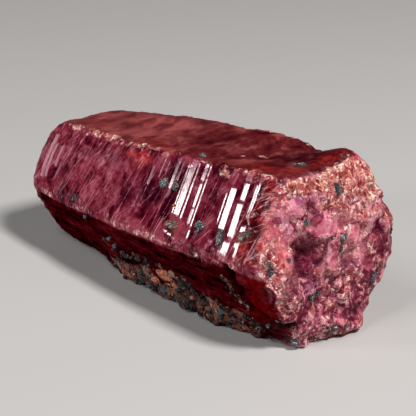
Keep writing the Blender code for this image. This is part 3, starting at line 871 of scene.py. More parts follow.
def ruby_material(name, mirror):
    m = Nodes(name)
    sugar, rock, dark = m.attribute("zone_a")
    pale, glow, gloss = m.attribute("zone_b")
    top, low, end = m.attribute("zone_c")
    rust, small, strip = m.attribute("zone_d")
    warm, clear, lilac = m.attribute("zone_e")
    ember, deep, streaked = m.attribute("zone_f")
    blush, faint_painted_strips, rim = m.attribute("zone_g")
    behind, painted_strip_highlight, painted_lower_shade = m.attribute("zone_h")
    mm = m.place()

    def ridge(v, width):
        """A thin line wherever a slow pattern crosses its middle."""
        return m.span(m.math('ABSOLUTE', m.math('SUBTRACT', v, 0.5)), width, 0.0)

    def three(v, deep, mid, light, low_at, centre, high_at):
        c = m.mix(m.span(v, low_at, centre), deep, mid)
        return m.mix(m.span(v, centre, high_at), c, light)

    # --- patterns
    cloud = m.noise(mm, 0.36, 3.0, 0.6, 0.4)                  # about 3 mm
    mottle = m.noise(mm, 1.15, 5.0, 0.72, 0.8)                # about 0.8 mm
    fine = m.noise(mm, 4.2, 3.0, 0.65)
    silk_a = m.noise(m.place((28, -20, 0), (0.95, 0.55, 0.34)), 1.0, 3.0, 0.6, 0.8)
    silk_b = m.noise(m.place((28, -46, 0), (1.1, 0.6, 0.40), (7, 3, 1)), 1.0, 3.0, 0.6, 0.8)
    hair_a = m.noise(m.place((28, -14, 0), (0.75, 0.3, 0.05), (3, 5, 8)), 1.0, 2.0, 0.5, 0.10)
    hair_b = m.noise(m.place((28, -44, 0), (0.70, 0.3, 0.07), (9, 2, 4)), 1.0, 2.0, 0.5, 0.15)
    brushed = m.noise(m.place((0, 0, -50), (0.40, 1.1, 1.2), (2, 8, 5)), 1.0, 4.0, 0.6, 0.3)
    along = m.noise(m.place((0, 0, 0), (0.22, 1.1, 1.1), (4, 4, 4)), 1.0, 5.0, 0.65, 0.5)
    lines = m.noise(m.place((0, 0, 0), (5.5, 0.22, 0.22), (3, 9, 4)), 1.0, 3.0, 0.55)
    wander = m.tree.nodes.new("ShaderNodeVectorMath")
    wander.operation = 'MULTIPLY_ADD'
    drift = m.tree.nodes.new("ShaderNodeTexNoise")
    drift.inputs["Scale"].default_value = 1.6
    drift.inputs["Detail"].default_value = 3.0
    m.link(mm, drift.inputs["Vector"])
    m.link(drift.outputs["Color"], wander.inputs[0])
    wander.inputs[1].default_value = (0.9, 0.9, 0.9)
    m.link(mm, wander.inputs[2])
    bent = wander.outputs[0]
    grains = m.cells(bent, 3.2)
    crumbs = m.cells(bent, 1.25)
    tall = m.tree.nodes.new("ShaderNodeMapping")
    tall.inputs["Rotation"].default_value = (math.radians(24), 0.0, 0.0)
    tall.inputs["Scale"].default_value = (1.0, 1.0, 0.55)
    m.tree.links.new(bent, tall.inputs["Vector"])
    shards = m.cells(tall.outputs[0], 0.78)
    slivers = m.cells(tall.outputs[0], 2.0)
    s_r, s_g, s_b = m.parts(shards.outputs["Color"])
    v_r, v_g, v_b = m.parts(slivers.outputs["Color"])
    g_r, g_g, g_b = m.parts(grains.outputs["Color"])
    c_r, c_g, c_b = m.parts(crumbs.outputs["Color"])

    def mean(*pairs):
        total = None
        for v, w in pairs:
            part = m.math('MULTIPLY', m.math('SUBTRACT', v, 0.5), w)
            total = part if total is None else m.math('ADD', total, part)
        return m.math('ADD', total, 0.5)

    # --- the smooth faces, each from its own patterns
    front_v = mean((cloud, 1.45), (silk_a, 0.16), (mottle, 0.75), (lines, 0.20))
    front_c = three(front_v, srgb(58, 0, 18), srgb(116, 26, 46), srgb(154, 62, 80), 0.28, 0.48, 0.74)
    ember_c = three(mean((mottle, 1.0), (cloud, 0.9), (silk_b, 0.3)), srgb(60, 0, 4), srgb(126, 16, 21), srgb(188, 54, 58), 0.34, 0.54, 0.76)
    front_c = m.mix(ember, front_c, ember_c)
    top_v = mean((brushed, 0.16), (cloud, 1.25), (mottle, 0.48))
    top_c = three(top_v, srgb(60, 8, 15), srgb(98, 30, 34), srgb(142, 68, 66), 0.30, 0.50, 0.74)
    # painted shade: the lower front face, turned down away from the light, gets very dark reds
    low_v = mean((along, 1.2), (mottle, 0.6), (cloud, 0.5))
    low_c = three(low_v, srgb(9, 0, 1), srgb(58, 3, 8), srgb(112, 24, 34), 0.34, 0.52, 0.82)
    small_c = three(mean((cloud, 1.0), (mottle, 0.8)), srgb(78, 20, 34), srgb(126, 56, 66), srgb(174, 108, 116), 0.3, 0.5, 0.75)
    body = m.mix(top, front_c, top_c)
    body = m.mix(low, body, low_c)
    body = m.mix(small, body, small_c)

    # silky veils and fine hairs, mostly in the paler parts; the veils also carry the painted sheen
    light = m.mix(top, srgb(172, 98, 114), srgb(160, 82, 80))
    veil = m.math('ADD', m.math('MULTIPLY', m.span(silk_a, 0.50, 0.68), 0.50),
                  m.math('MULTIPLY', m.span(mean((mottle, 1.0), (cloud, 0.8)), 0.50, 0.72), 0.42))
    veil = m.blend(top, veil, m.math('MULTIPLY', m.span(mean((brushed, 0.5), (cloud, 0.9)), 0.46, 0.72), 0.75))
    veil = m.math('MULTIPLY', m.math('MULTIPLY', veil, m.span(cloud, 0.36, 0.56, 0.25, 1.0)), m.math('MULTIPLY', pale, m.math('SUBTRACT', 1.0, dark, True)))
    body = m.mix(veil, body, light)
    # painted sheen: a pinkish haze over the top face
    body = m.mix(m.math('MULTIPLY', m.math('MULTIPLY', top, pale), m.span(cloud, 0.34, 0.60, 0.25, 0.60)), body, srgb(158, 76, 76))
    dim = m.math('MULTIPLY', m.math('MULTIPLY', m.span(silk_b, 0.42, 0.28), 0.18), m.math('SUBTRACT', 1.0, m.math('ADD', top, low), True))
    body = m.mix(dim, body, srgb(66, 6, 30))

    # dark places made darker still: deep magenta on the faces, painted shade in the hollows of the break and a painted
    # shadow down the cleft; then the painted glow
    dark_tone_and_shade = m.math('MULTIPLY', dark, m.span(mean((mottle, 1.3), (fine, 0.4)), 0.66, 0.42, 0.48, 1.0))
    black = m.mix(low, m.mix(top, m.mix(end, srgb(44, 0, 18), srgb(60, 0, 24)), srgb(52, 5, 14)), srgb(5, 0, 1))
    body = m.mix(dark_tone_and_shade, body, black)
    # painted glow colours; the near-white pink stops are painted highlights
    hot = m.mix(m.span(mean((mottle, 1.0), (v_r, 0.25)), 0.30, 0.56), srgb(186, 56, 58), srgb(244, 150, 152))
    hot = m.mix(m.math('ADD', ember, end, True), m.mix(m.span(mean((mottle, 0.9), (v_r, 0.3), (fine, 0.5)), 0.34, 0.58), srgb(178, 34, 40), m.mix(m.span(mean((mottle, 0.6), (g_g, 0.35), (fine, 0.6)), 0.60, 0.72), srgb(236, 92, 92), srgb(255, 186, 180))), hot)
    hot = m.mix(top, hot, m.mix(m.span(mottle, 0.4, 0.6), srgb(92, 12, 14), srgb(140, 38, 36)))
    hot = m.mix(low, hot, m.mix(m.span(mottle, 0.36, 0.6), srgb(60, 0, 1), srgb(104, 4, 6)))
    body = m.mix(m.math('MULTIPLY', glow, m.span(cloud, 0.30, 0.55, 0.7, 1.0)), body, hot)

    hair = m.math('ADD', m.math('MULTIPLY', ridge(hair_a, 0.012), m.span(mottle, 0.36, 0.52)),
                  m.math('MULTIPLY', ridge(hair_b, 0.010), m.span(cloud, 0.44, 0.60)), True)
    hair = m.math('MULTIPLY', hair, m.math('SUBTRACT', 1.0, m.math('ADD', m.math('ADD', low, top), m.math('ADD', m.math('ADD', end, behind), sugar)), True))
    across = m.math('MULTIPLY', m.math('MULTIPLY', behind, m.span(lines, 0.50, 0.68)), m.span(cloud, 0.40, 0.58))
    body = m.mix(m.math('MULTIPLY', across, 0.55), body, srgb(182, 100, 116))
    across = m.math('MULTIPLY', m.math('MULTIPLY', behind, m.span(lines, 0.46, 0.34)), m.span(cloud, 0.58, 0.44))
    body = m.mix(m.math('MULTIPLY', across, 0.55), body, srgb(64, 4, 24))
    body = m.mix(m.math('MULTIPLY', hair, 0.75), body, srgb(204, 138, 150))
    # painted highlight: the bright strips, which shine only by reflecting the light, are painted paler
    body = m.mix(m.math('MULTIPLY', faint_painted_strips, m.span(lines, 0.35, 0.6, 0.35, 0.8)), body, srgb(196, 140, 150))
    body = m.mix(m.math('MULTIPLY', painted_strip_highlight, 0.30), body, srgb(204, 150, 164))
    hair_c = m.noise(m.place((28, -60, 0), (1.5, 0.5, 0.14), (1, 6, 2)), 1.0, 3.0, 0.6, 0.4)
    crack = m.math('MULTIPLY', m.math('MULTIPLY', ridge(hair_c, 0.022), ember), m.math('MULTIPLY', m.span(mottle, 0.40, 0.52), m.math('SUBTRACT', 1.0, end, True)))
    body = m.mix(m.math('MULTIPLY', crack, 0.8), body, srgb(224, 182, 190))

    # chips of clearer and darker ruby in the break
    chip = three(s_g, srgb(108, 8, 46), srgb(188, 64, 98), srgb(244, 152, 172), 0.14, 0.50, 0.88)
    chip = m.mix(m.span(s_r, 0.78, 0.80), chip, srgb(84, 6, 36))
    chip = m.mix(m.span(s_b, 0.86, 0.88), chip, srgb(160, 90, 128))
    chip = m.mix(m.math('MULTIPLY', m.span(v_r, 0.70, 0.73), 0.42), chip, srgb(234, 150, 166))
    chip = m.mix(m.math('MULTIPLY', m.span(v_g, 0.76, 0.79), 0.60), chip, srgb(92, 6, 40))
    chip = m.mix(m.math('MULTIPLY', m.span(c_g, 0.72, 0.9), 0.40), chip, srgb(192, 112, 104))
    chip = m.mix(m.math('MULTIPLY', m.span(mottle, 0.42, 0.30), 0.70), chip, srgb(76, 2, 32))
    # painted glints: a few near-white chips
    chip = m.mix(m.math('MULTIPLY', m.span(g_b, 0.95, 0.97), m.span(mottle, 0.44, 0.58)), chip, srgb(250, 212, 212))
    web = m.cells(bent, 0.95, 'DISTANCE_TO_EDGE')
    web2 = m.cells(tall.outputs[0], 1.9, 'DISTANCE_TO_EDGE')
    vein = m.math('MAXIMUM', m.math('MULTIPLY', m.span(web.outputs["Distance"], 0.040, 0.006), m.span(mottle, 0.44, 0.56)),
                  m.math('MULTIPLY', m.span(web2.outputs["Distance"], 0.050, 0.008), m.math('MULTIPLY', m.span(fine, 0.46, 0.58), 0.8)))
    chip = m.mix(m.math('MULTIPLY', vein, m.math('SUBTRACT', 0.85, m.math('MULTIPLY', deep, 0.5))), chip, srgb(244, 182, 184))
    chip = m.mix(m.math('MULTIPLY', deep, m.span(mean((mottle, 1.0), (v_b, 0.3)), 0.66, 0.44, 0.45, 0.95)), chip, srgb(92, 6, 42))
    seam = m.span(shards.outputs["Distance"], 0.62, 0.95)
    chip = m.mix(m.math('MULTIPLY', seam, 0.55), chip, srgb(84, 8, 38))
    chip = m.mix(m.math('MULTIPLY', blush, m.span(mottle, 0.36, 0.52, 0.3, 0.95)), chip,
                 m.mix(m.span(mean((mottle, 1.0), (v_r, 0.4)), 0.36, 0.66), srgb(226, 108, 138), srgb(255, 208, 214)))
    glass = m.mix(lilac, m.mix(m.span(mean((cloud, 0.8), (mottle, 0.8)), 0.32, 0.66), srgb(178, 60, 94), srgb(232, 134, 154)),
                  m.mix(m.span(mottle, 0.36, 0.62), srgb(112, 46, 88), srgb(178, 118, 160)))
    chip = m.mix(m.math('MULTIPLY', clear, m.span(mottle, 0.36, 0.5, 0.55, 0.95)), chip, glass)
    # painted shade low in the break
    chip = m.mix(m.math('MULTIPLY', painted_lower_shade, m.span(mean((mottle, 1.2), (v_r, 0.30), (s_r, 0.22)), 0.56, 0.40, 0.0, 0.85)), chip, srgb(88, 8, 42))
    body = m.mix(m.math('MULTIPLY', end, m.math('SUBTRACT', 1.0, m.math('ADD', dark_tone_and_shade, m.math('MULTIPLY', glow, 0.7)), True)), body, chip)

    # sugary grains, warmer on the bevel, with painted glints as near-white specks
    pick = m.mix(m.span(g_r, 0.05, 0.95, soft=False), srgb(142, 36, 46), srgb(232, 146, 142))
    drips = m.noise(m.place((12, 0, 0), (1.0, 2.4, 0.55), (5, 1, 3)), 1.0, 3.0, 0.6, 0.3)
    pick = m.mix(m.math('MULTIPLY', warm, m.span(g_g, 0.55, 0.7)), pick, srgb(212, 134, 112))
    pick = m.mix(m.math('MULTIPLY', rim, 0.7), pick, m.mix(m.span(fine, 0.35, 0.65), srgb(150, 74, 70), srgb(222, 158, 148)))
    pick = m.mix(m.math('MULTIPLY', streaked, m.span(drips, 0.48, 0.38)), pick, srgb(124, 20, 32))
    pick = m.mix(m.math('MULTIPLY', m.math('MULTIPLY', streaked, m.span(drips, 0.52, 0.64)), 0.6), pick, srgb(226, 154, 144))
    # painted glints: near-white and pale gold specks
    pick = m.mix(m.math('MULTIPLY', m.span(g_b, 0.74, 0.77), m.span(mottle, 0.44, 0.54)), pick, m.mix(warm, srgb(255, 228, 226), srgb(255, 238, 214)))
    pick = m.mix(m.math('MULTIPLY', m.span(v_r, 0.80, 0.83), m.span(fine, 0.46, 0.58)), pick, m.mix(warm, srgb(255, 212, 210), srgb(255, 222, 196)))
    pick = m.mix(m.math('MULTIPLY', m.span(mottle, 0.47, 0.34), 0.85), pick, srgb(118, 16, 24))
    pick = m.mix(m.math('MULTIPLY', m.span(v_b, 0.80, 0.83), 0.7), pick, srgb(136, 22, 20))
    # painted shade low in the break, on the grains as well
    pick = m.mix(m.math('MULTIPLY', painted_lower_shade, m.span(mean((mottle, 1.2), (v_r, 0.30)), 0.54, 0.42, 0.0, 0.7)), pick, srgb(112, 18, 44))
    keep = m.span(m.math('ADD', sugar, m.math('MULTIPLY', m.math('SUBTRACT', mottle, 0.5), 1.8)), 0.30, 0.70)
    body = m.mix(m.math('MULTIPLY', keep, 0.85), body, pick)

    # rust stain
    body = m.mix(m.math('MULTIPLY', rust, m.span(mottle, 0.3, 0.6, 0.5, 0.95)), body, m.mix(m.span(fine, 0.4, 0.6), srgb(96, 50, 34), srgb(150, 92, 66)))

    # fused rock: tan, grey-blue and black grains
    stone = m.mix(m.span(c_r, 0.45, 0.50), srgb(138, 86, 66), srgb(100, 60, 54))
    stone = m.mix(m.span(c_g, 0.78, 0.81), stone, srgb(88, 96, 100))
    stone = m.mix(m.span(g_g, 0.84, 0.87), stone, srgb(30, 24, 26))
    stone = m.mix(m.span(g_r, 0.90, 0.93), stone, srgb(176, 138, 120))
    stone = m.mix(m.math('MULTIPLY', m.span(mottle, 0.52, 0.34), 0.7), stone, srgb(48, 16, 15))
    body = m.mix(m.span(m.math('ADD', rock, m.math('MULTIPLY', m.math('SUBTRACT', mottle, 0.5), 1.6)), 0.30, 0.55), body, stone)
    m.link(body, m.bsdf.inputs["Base Color"])

    # --- roughness
    rough = m.blend(gloss, 0.17, 0.07)
    rough = m.blend(top, rough, 0.30)
    rough = m.blend(low, rough, 0.24)
    rough = m.blend(small, rough, 0.5)
    rough = m.blend(end, rough, m.span(v_g, 0.0, 1.0, 0.14, 0.42, soft=False))
    rough = m.blend(sugar, rough, m.span(g_g, 0.0, 1.0, 0.10, 0.40, soft=False))
    rough = m.blend(rock, rough, 0.75)
    rough = m.math('ADD', rough, m.math('MULTIPLY', m.math('SUBTRACT', mottle, 0.5), 0.10))
    rough = m.blend(strip, rough, m.span(fine, 0.42, 0.72, 0.06, 0.34))
    m.link(rough, m.bsdf.inputs["Roughness"])

    # --- relief
    coarse = m.math('MULTIPLY', m.math('ADD', end, m.math('ADD', sugar, m.math('MULTIPLY', rock, 0.8)), True), m.math('SUBTRACT', 1.0, m.math('MULTIPLY', clear, 0.8)))
    bump = m.math('MULTIPLY', m.math('MULTIPLY', lines, m.math('SUBTRACT', 1.0, coarse, True)), 0.14)
    bump = m.math('ADD', bump, m.math('MULTIPLY', m.math('MULTIPLY', fine, m.math('ADD', m.math('MULTIPLY', coarse, 0.7), 0.06)), 1.0))
    bump = m.math('ADD', bump, m.math('MULTIPLY', m.math('MULTIPLY', m.math('ADD', v_b, m.math('MULTIPLY', g_g, 0.5)), coarse), 0.45))
    calm = m.math('SUBTRACT', 1.0, m.math('MULTIPLY', strip, 0.9))
    m.link(m.bump(m.math('MULTIPLY', bump, calm), 0.00014, 1.0), m.bsdf.inputs["Normal"])

    m.bsdf.inputs["IOR"].default_value = 1.77
    m.bsdf.inputs["Specular IOR Level"].default_value = mirror
    m.bsdf.inputs["Subsurface Weight"].default_value = 0.15
    m.bsdf.inputs["Subsurface Radius"].default_value = (1.0, 0.16, 0.22)
    m.bsdf.inputs["Subsurface Scale"].default_value = 0.0012
    return m.mat


mesh.materials.append(ruby_material("ruby_bright", 0.18))
mesh.materials.append(ruby_material("ruby_shaded", 0.0))
mesh.materials.append(ruby_material("ruby_dull", 0.02))
mesh.materials.append(ruby_material("ruby_break", 0.03))
mesh.materials.append(ruby_material("ruby_facets", 0.50))
kind = np.zeros(len(faces), np.int32)
kind[(np.maximum(low_m, np.where((side == LOWER_BACK) | (side == FOOT), 1.0, 0.0) * is_side)[corner_of].mean(1) > 0.5)] = 1
kind[(top_m * is_side * (1 - grain))[corner_of].mean(1) > 0.4] = 2
broken = np.where(masks["on_end"], 1.0, end_m)
kind[(((side == FRONT) & (rx > 19.7))[corner_of].mean(1) > 0.5) & (kind == 0)] = 3
kind[((broken[corner_of].mean(1) > 0.5) | (masks["edge_grain"][corner_of].mean(1) > 0.35)) & (kind == 0)] = 3
on_strip = ((masks["strip"] > 0.3) & (side == FRONT) & is_side)[corner_of].sum(1) >= 2
kind[on_strip & (kind == 0)] = 4
mesh.polygons.foreach_set("material_index", kind)
mesh.update()

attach(crystal, "root")
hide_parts("ruby_crystal")

# =====================================================================
# Mica flakes and fused rock grains, sitting in the surface
# =====================================================================
def at_side(which, f_at, x_at):
    """Points and outward directions on the finished sides, for true x."""
    f_at, x_at = np.asarray(f_at, float), np.asarray(x_at, float)
    which = np.full(len(x_at), which)
    one = np.ones(len(x_at))
    guess = np.clip(x_at, -STATION, STATION)
    for _ in range(5):
        p = place(which, f_at, one, guess)[0]
        guess = np.clip(guess + 0.8 * (x_at - p[:, 0]), -STATION, STATION)
    p, n2, _ = place(which, f_at, one, guess)
    return p, np.stack([np.zeros(len(x_at)), n2[:, 0], n2[:, 1]], 1)


def at_end(y, z):
    y, z = np.asarray(y, float), np.asarray(z, float)
    x = broken_end(y, z)
    d = 0.7
    dy = (broken_end(y + d, z) - broken_end(y - d, z)) / (2 * d)
    dz = (broken_end(y, z + d) - broken_end(y, z - d)) / (2 * d)
    n = np.stack([np.ones(len(y)), -np.clip(dy, -0.6, 0.6), -np.clip(dz, -0.6, 0.6)], 1)
    return np.stack([x, y, z], 1), n / np.linalg.norm(n, axis=1)[:, None]


def frame_at(normal, turn):
    """Two directions lying in the surface: one turned from 'up the face', one across."""
    up = np.array([0.0, 0.0, 1.0]) - normal * normal[2]
    if np.linalg.norm(up) < 0.3:
        up = np.array([0.0, 1.0, 0.0]) - normal * normal[1]
    up = up / np.linalg.norm(up)
    across = np.cross(up, normal)
    t = math.radians(turn)
    return math.cos(t) * up + math.sin(t) * across, math.cos(t) * across - math.sin(t) * up


def flake(rng, point, normal, length, width, turn, height, sink=0.16):
    """A thin broken book of mica: a ragged outline, a split upper face."""
    u, v = frame_at(normal, turn)
    n = 10
    angle = np.sort((np.arange(n) + rng.uniform(-0.3, 0.3, n)) / n * 2 * math.pi)
    radius = rng.uniform(0.74, 1.08, n)
    verts, shade = [], []
    tip = rng.uniform(-0.16, 0.16, 2)
    # shade per ring: low at the sunk rim and high in the middle, for the painted shade at the flake's edge
    for scale, low, high, tone in ((1.10, -sink, -sink, 0.0), (1.0, 0.45, 0.9, 0.15), (0.62, 0.75, 1.25, 0.8)):
        for k in range(n):
            r = radius[k] * scale * (1.0 if scale > 0.7 else rng.uniform(0.75, 1.15))
            a, b = r * math.cos(angle[k]) * length / 2, r * math.sin(angle[k]) * width / 2
            h = low if scale > 1.05 else height * (rng.uniform(low, high) + tip[0] * math.cos(angle[k]) + tip[1] * math.sin(angle[k]))
            verts.append(point + u * a + v * b + normal * h)
            shade.append(tone + rng.uniform(0, 0.2))
    verts.append(point + normal * height * rng.uniform(0.8, 1.2))
    shade.append(1.0)
    tris = []
    for ring_no in (0, 1):
        for k in range(n):
            a, b = ring_no * n + k, ring_no * n + (k + 1) % n
            c, d = a + n, b + n
            tris += [(a, b, d), (a, d, c)] if k % 2 else [(a, b, c), (b, d, c)]
    for k in range(n):
        tris.append((2 * n + k, 2 * n + (k + 1) % n, 3 * n))
    return verts, tris, shade


def ball():
    bm = bmesh.new()
    bmesh.ops.create_icosphere(bm, subdivisions=2, radius=1.0)
    v = np.array([p.co[:] for p in bm.verts])
    t = [tuple(q.index for q in face.verts) for face in bm.faces]
    bm.free()
    return v / np.linalg.norm(v, axis=1)[:, None], t


BALL, BALL_TRIS = ball()


def chunk(rng, point, normal, half, turn, flats=9):
    """An angular grain: a ball cut by flat planes."""
    planes = rng.normal(size=(flats, 3))
    planes /= np.linalg.norm(planes, axis=1)[:, None]
    cut = rng.uniform(0.55, 0.95, flats)
    facing = BALL @ planes.T
    reach = np.where(facing > 0.12, cut / np.maximum(facing, 0.12), 9.0).min(1)
    body = BALL * np.minimum(reach, 1.1)[:, None]
    u, v = frame_at(normal, turn)
    return (point + body[:, :1] * half[0] * u + body[:, 1:2] * half[1] * v
            + body[:, 2:] * half[2] * normal), BALL_TRIS, np.full(len(BALL), rng.uniform())


class Gather:
    """Collects small solids into one mesh, each with its own colour and shine."""

    def __init__(self):
        self.verts, self.tris, self.tint, self.extra = [], [], [], []

    def add(self, solid, tint, shine=0.0):
        verts, tris, shade = solid
        base = len(self.verts)
        self.verts += [list(map(float, v)) for v in verts]
        self.tris += [tuple(base + i for i in t) for t in tris]
        self.tint += [tint] * len(verts)
        self.extra += [(float(s), shine, 0.0) for s in shade]

    def build(self, name):
        me = bpy.data.meshes.new(name)
        v = np.array(self.verts) - ORIGIN_SHIFT
        v[:, 2] = np.maximum(v[:, 2], 0.02)
        me.from_pydata((v * MM).tolist(), [], self.tris)
        me.update()
        vector_attribute(me, "tint", [np.array(self.tint)[:, k] for k in range(3)])
        vector_attribute(me, "extra", [np.array(self.extra)[:, k] for k in range(3)])
        ob = bpy.data.objects.new(name, me)
        bpy.context.scene.collection.objects.link(ob)
        return ob


TEAL, GREY, OLIVE = srgb(58, 78, 82), srgb(76, 80, 82), srgb(48, 40, 30)
INK, RUST, MAUVE = srgb(16, 24, 27), srgb(104, 52, 30), srgb(74, 56, 80)

# place on a side: (side, true x, part of the way down, length, width, turn, height, colour)
SIDE_FLAKES = (
    (FRONT, 2.05, 0.355, 1.35, 1.25, 10, 0.34, TEAL), (FRONT, 4.50, 0.358, 1.25, 1.15, 40, 0.30, OLIVE),
    (TOP, 6.30, 0.915, 1.15, 0.75, 70, 0.26, TEAL), (TOP, 19.4, 0.535, 1.30, 0.75, 60, 0.24, GREY),
    (TOP, 18.7, 0.57, 0.8, 0.4, 50, 0.16, GREY),
    (FRONT, 11.0, 0.675, 0.95, 0.85, 30, 0.34, INK), (FRONT, 11.7, 0.69, 0.85, 0.9, -30, 0.36, GREY),
    (FRONT, 11.3, 0.735, 0.95, 0.6, 10, 0.30, TEAL), (FRONT, 10.5, 0.70, 0.6, 0.5, 60, 0.24, OLIVE),
    (FRONT, 15.35, 0.735, 2.1, 0.95, 2, 0.40, GREY), (FRONT, 6.45, 0.765, 1.3, 1.9, 20, 0.22, RUST),
    (FRONT, 5.45, 0.775, 0.9, 0.8, 60, 0.22, RUST), (FRONT, 18.9, 0.655, 1.5, 1.2, 30, 0.22, RUST),
    (FRONT, 19.8, 0.625, 0.8, 0.9, -20, 0.22, OLIVE),
    (LOWER_FRONT, -11.85, 0.10, 1.0, 0.6, 50, 0.30, GREY), (LOWER_FRONT, -7.6, 0.33, 1.2, 0.55, 60, 0.34, GREY),
    (LOWER_FRONT, -6.7, 0.42, 1.1, 0.7, 70, 0.36, TEAL), (LOWER_FRONT, 21.6, 0.70, 1.1, 0.7, 30, 0.34, TEAL),
    (LOWER_FRONT, 22.6, 0.70, 0.9, 0.6, 60, 0.34, INK), (LOWER_FRONT, 20.7, 0.74, 0.8, 0.6, 10, 0.34, GREY),
)
# place on the broken end: (y, z, length, width, turn, height, colour)
END_FLAKES = (
    (0.24, 18.8, 1.9, 0.75, -8, 0.30, TEAL), (-9.35, 10.9, 1.55, 0.70, 8, 0.34, INK),
    (-9.55, 11.9, 0.8, 0.9, 30, 0.26, RUST), (-5.14, 16.2, 0.75, 0.55, 0, 0.26, TEAL),
    (0.75, 12.9, 1.3, 0.95, 25, 0.26, GREY), (0.5, 11.6, 1.0, 0.6, -10, 0.24, INK),
    (-3.75, 6.4, 0.95, 1.2, 60, 0.30, INK), (-2.9, 6.7, 0.6, 0.5, 0, 0.24, TEAL),
    (0.2, 1.5, 0.8, 0.9, 20, 0.34, GREY), (1.3, 1.6, 0.7, 0.6, 70, 0.30, TEAL), (-0.5, 1.0, 0.6, 0.6, 0, 0.3, INK),
    (6.0, 6.3, 1.6, 0.7, 12, 0.34, MAUVE), (6.8, 6.5, 1.4, 0.6, 16, 0.34, MAUVE),
    (-5.3, 0.9, 0.6, 1.3, 20, 0.3, TEAL), (-7.3, 12.0, 0.4, 0.4, 0, 0.24, TEAL), (-7.6, 7.9, 0.45, 0.4, 0, 0.24, TEAL),
)
rng = np.random.default_rng(5)
mica = Gather()
for which, x_at, f_at, length, width, turn, height, tint in SIDE_FLAKES:
    p, n = at_side(which, [f_at], [x_at])
    mica.add(flake(rng, p[0] + n[0] * 0.02, n[0], length, width, turn, height), tint)
for y_at, z_at, length, width, turn, height, tint in END_FLAKES:
    p, n = at_end([y_at], [z_at])
    mica.add(flake(rng, p[0] + n[0] * 0.10, n[0], length, width, turn, height, 0.4), tint)

# a few more on the faces turned away
for which, x_at, f_at, length, width, turn, height, tint in (
        (UPPER_BACK, 4.2, 0.36, 1.2, 0.8, 30, 0.30, TEAL), (UPPER_BACK, -7.6, 0.63, 1.0, 0.7, 70, 0.28, GREY),
        (UPPER_BACK, 12.7, 0.70, 1.4, 0.7, 15, 0.30, INK), (UPPER_BACK, -15.2, 0.30, 0.8, 0.6, 50, 0.24, TEAL),
        (UPPER_BACK, 18.3, 0.26, 1.1, 0.9, -20, 0.30, OLIVE), (LOWER_BACK, 8.6, 0.62, 1.2, 0.8, 40, 0.30, GREY),
        (LOWER_BACK, -10.4, 0.40, 1.0, 0.8, 10, 0.28, INK), (LOWER_BACK, 15.8, 0.34, 0.9, 0.7, 60, 0.28, TEAL),
        (LOWER_BACK, -2.1, 0.78, 0.8, 0.6, 80, 0.24, RUST)):
    p, n = at_side(which, [f_at], [x_at])
    mica.add(flake(rng, p[0] + n[0] * 0.02, n[0], length, width, turn, height), tint)

# rock grains: how far up the lower front face the crust reaches at each x
CRUST_TOP = ((-16.0, 0.96), (-12.0, 0.80), (-9.0, 0.62), (-6.0, 0.50), (-3.0, 0.46), (2.0, 0.44),
             (7.0, 0.50), (10.0, 0.64), (12.0, 0.76), (15.6, 0.84), (19.0, 0.88), (23.0, 0.94))
DARK_SPOTS = ((-0.9, 0.97), (3.4, 0.80), (3.2, 0.95), (4.2, 0.86), (8.4, 0.83), (9.6, 0.92), (7.2, 0.96),
              (-3.4, 0.90), (11.2, 0.95))
PALE_SPOTS = ((-3.0, 0.70), (-2.2, 0.80), (5.0, 0.95), (8.9, 0.93), (11.5, 0.97), (13.5, 0.92), (19.8, 0.90), (-6.4, 0.56))
TAN, PINK, BROWN = srgb(140, 84, 64), srgb(120, 56, 52), srgb(64, 34, 28)
BLACK, SLATE, AMBER, CREAM = srgb(8, 8, 10), srgb(60, 65, 72), srgb(168, 86, 42), srgb(160, 126, 110)
# painted light: a lighter tan for the big lumps, standing in for light on the shaded lower face
TAN_PAINTED_LIT = srgb(210, 128, 98)
rng = np.random.default_rng(11)
stones = Gather()
# broad fused lumps first: (x, place down the face, half length, half height, colour)
for x_at, f_at, a, b, tint in ((2.4, 0.60, 2.0, 1.3, TAN_PAINTED_LIT), (4.2, 0.66, 1.5, 1.1, TAN_PAINTED_LIT), (1.0, 0.72, 1.6, 1.1, TAN_PAINTED_LIT),
                               (-0.9, 0.66, 1.2, 1.0, CREAM), (-2.2, 0.92, 1.6, 0.9, BROWN), (1.6, 0.93, 1.7, 0.9, PINK),
                               (6.4, 0.78, 1.5, 1.0, BROWN), (5.6, 0.62, 1.0, 0.7, BROWN), (7.0, 0.97, 1.2, 0.6, BROWN),
                               (-4.6, 0.84, 1.7, 0.9, PINK),
                               (9.4, 0.76, 1.4, 0.8, BROWN), (11.8, 0.88, 1.4, 0.6, BROWN), (14.4, 0.93, 1.3, 0.5, PINK),
                               (17.4, 0.93, 1.3, 0.5, BROWN)):
    p, n = at_side(LOWER_FRONT, [f_at], [x_at])
    stones.add(chunk(rng, p[0] - n[0] * 0.30, n[0], np.array([b, a, 0.75]), rng.uniform(-14, 14), 14), tint)
xs, fs = rng.uniform(-16.0, 23.5, 2600), rng.uniform(0.36, 1.0, 2600)
edge = np.interp(xs, *np.array(CRUST_TOP).T)
thick = np.interp(xs, (-16, -11, -7, -4, -2, 6, 12, 17, 23.5), (0.03, 0.07, 0.16, 0.45, 0.9, 1.0, 0.8, 0.55, 0.5))
edge = edge + 0.10 * noise(np.stack([xs, fs * 0, fs * 0], 1), 2.0, 131)
keep = (fs > edge) & (rng.uniform(size=len(xs)) < 0.34 * thick)
xs, fs = xs[keep], fs[keep]
loose = np.zeros(len(xs))
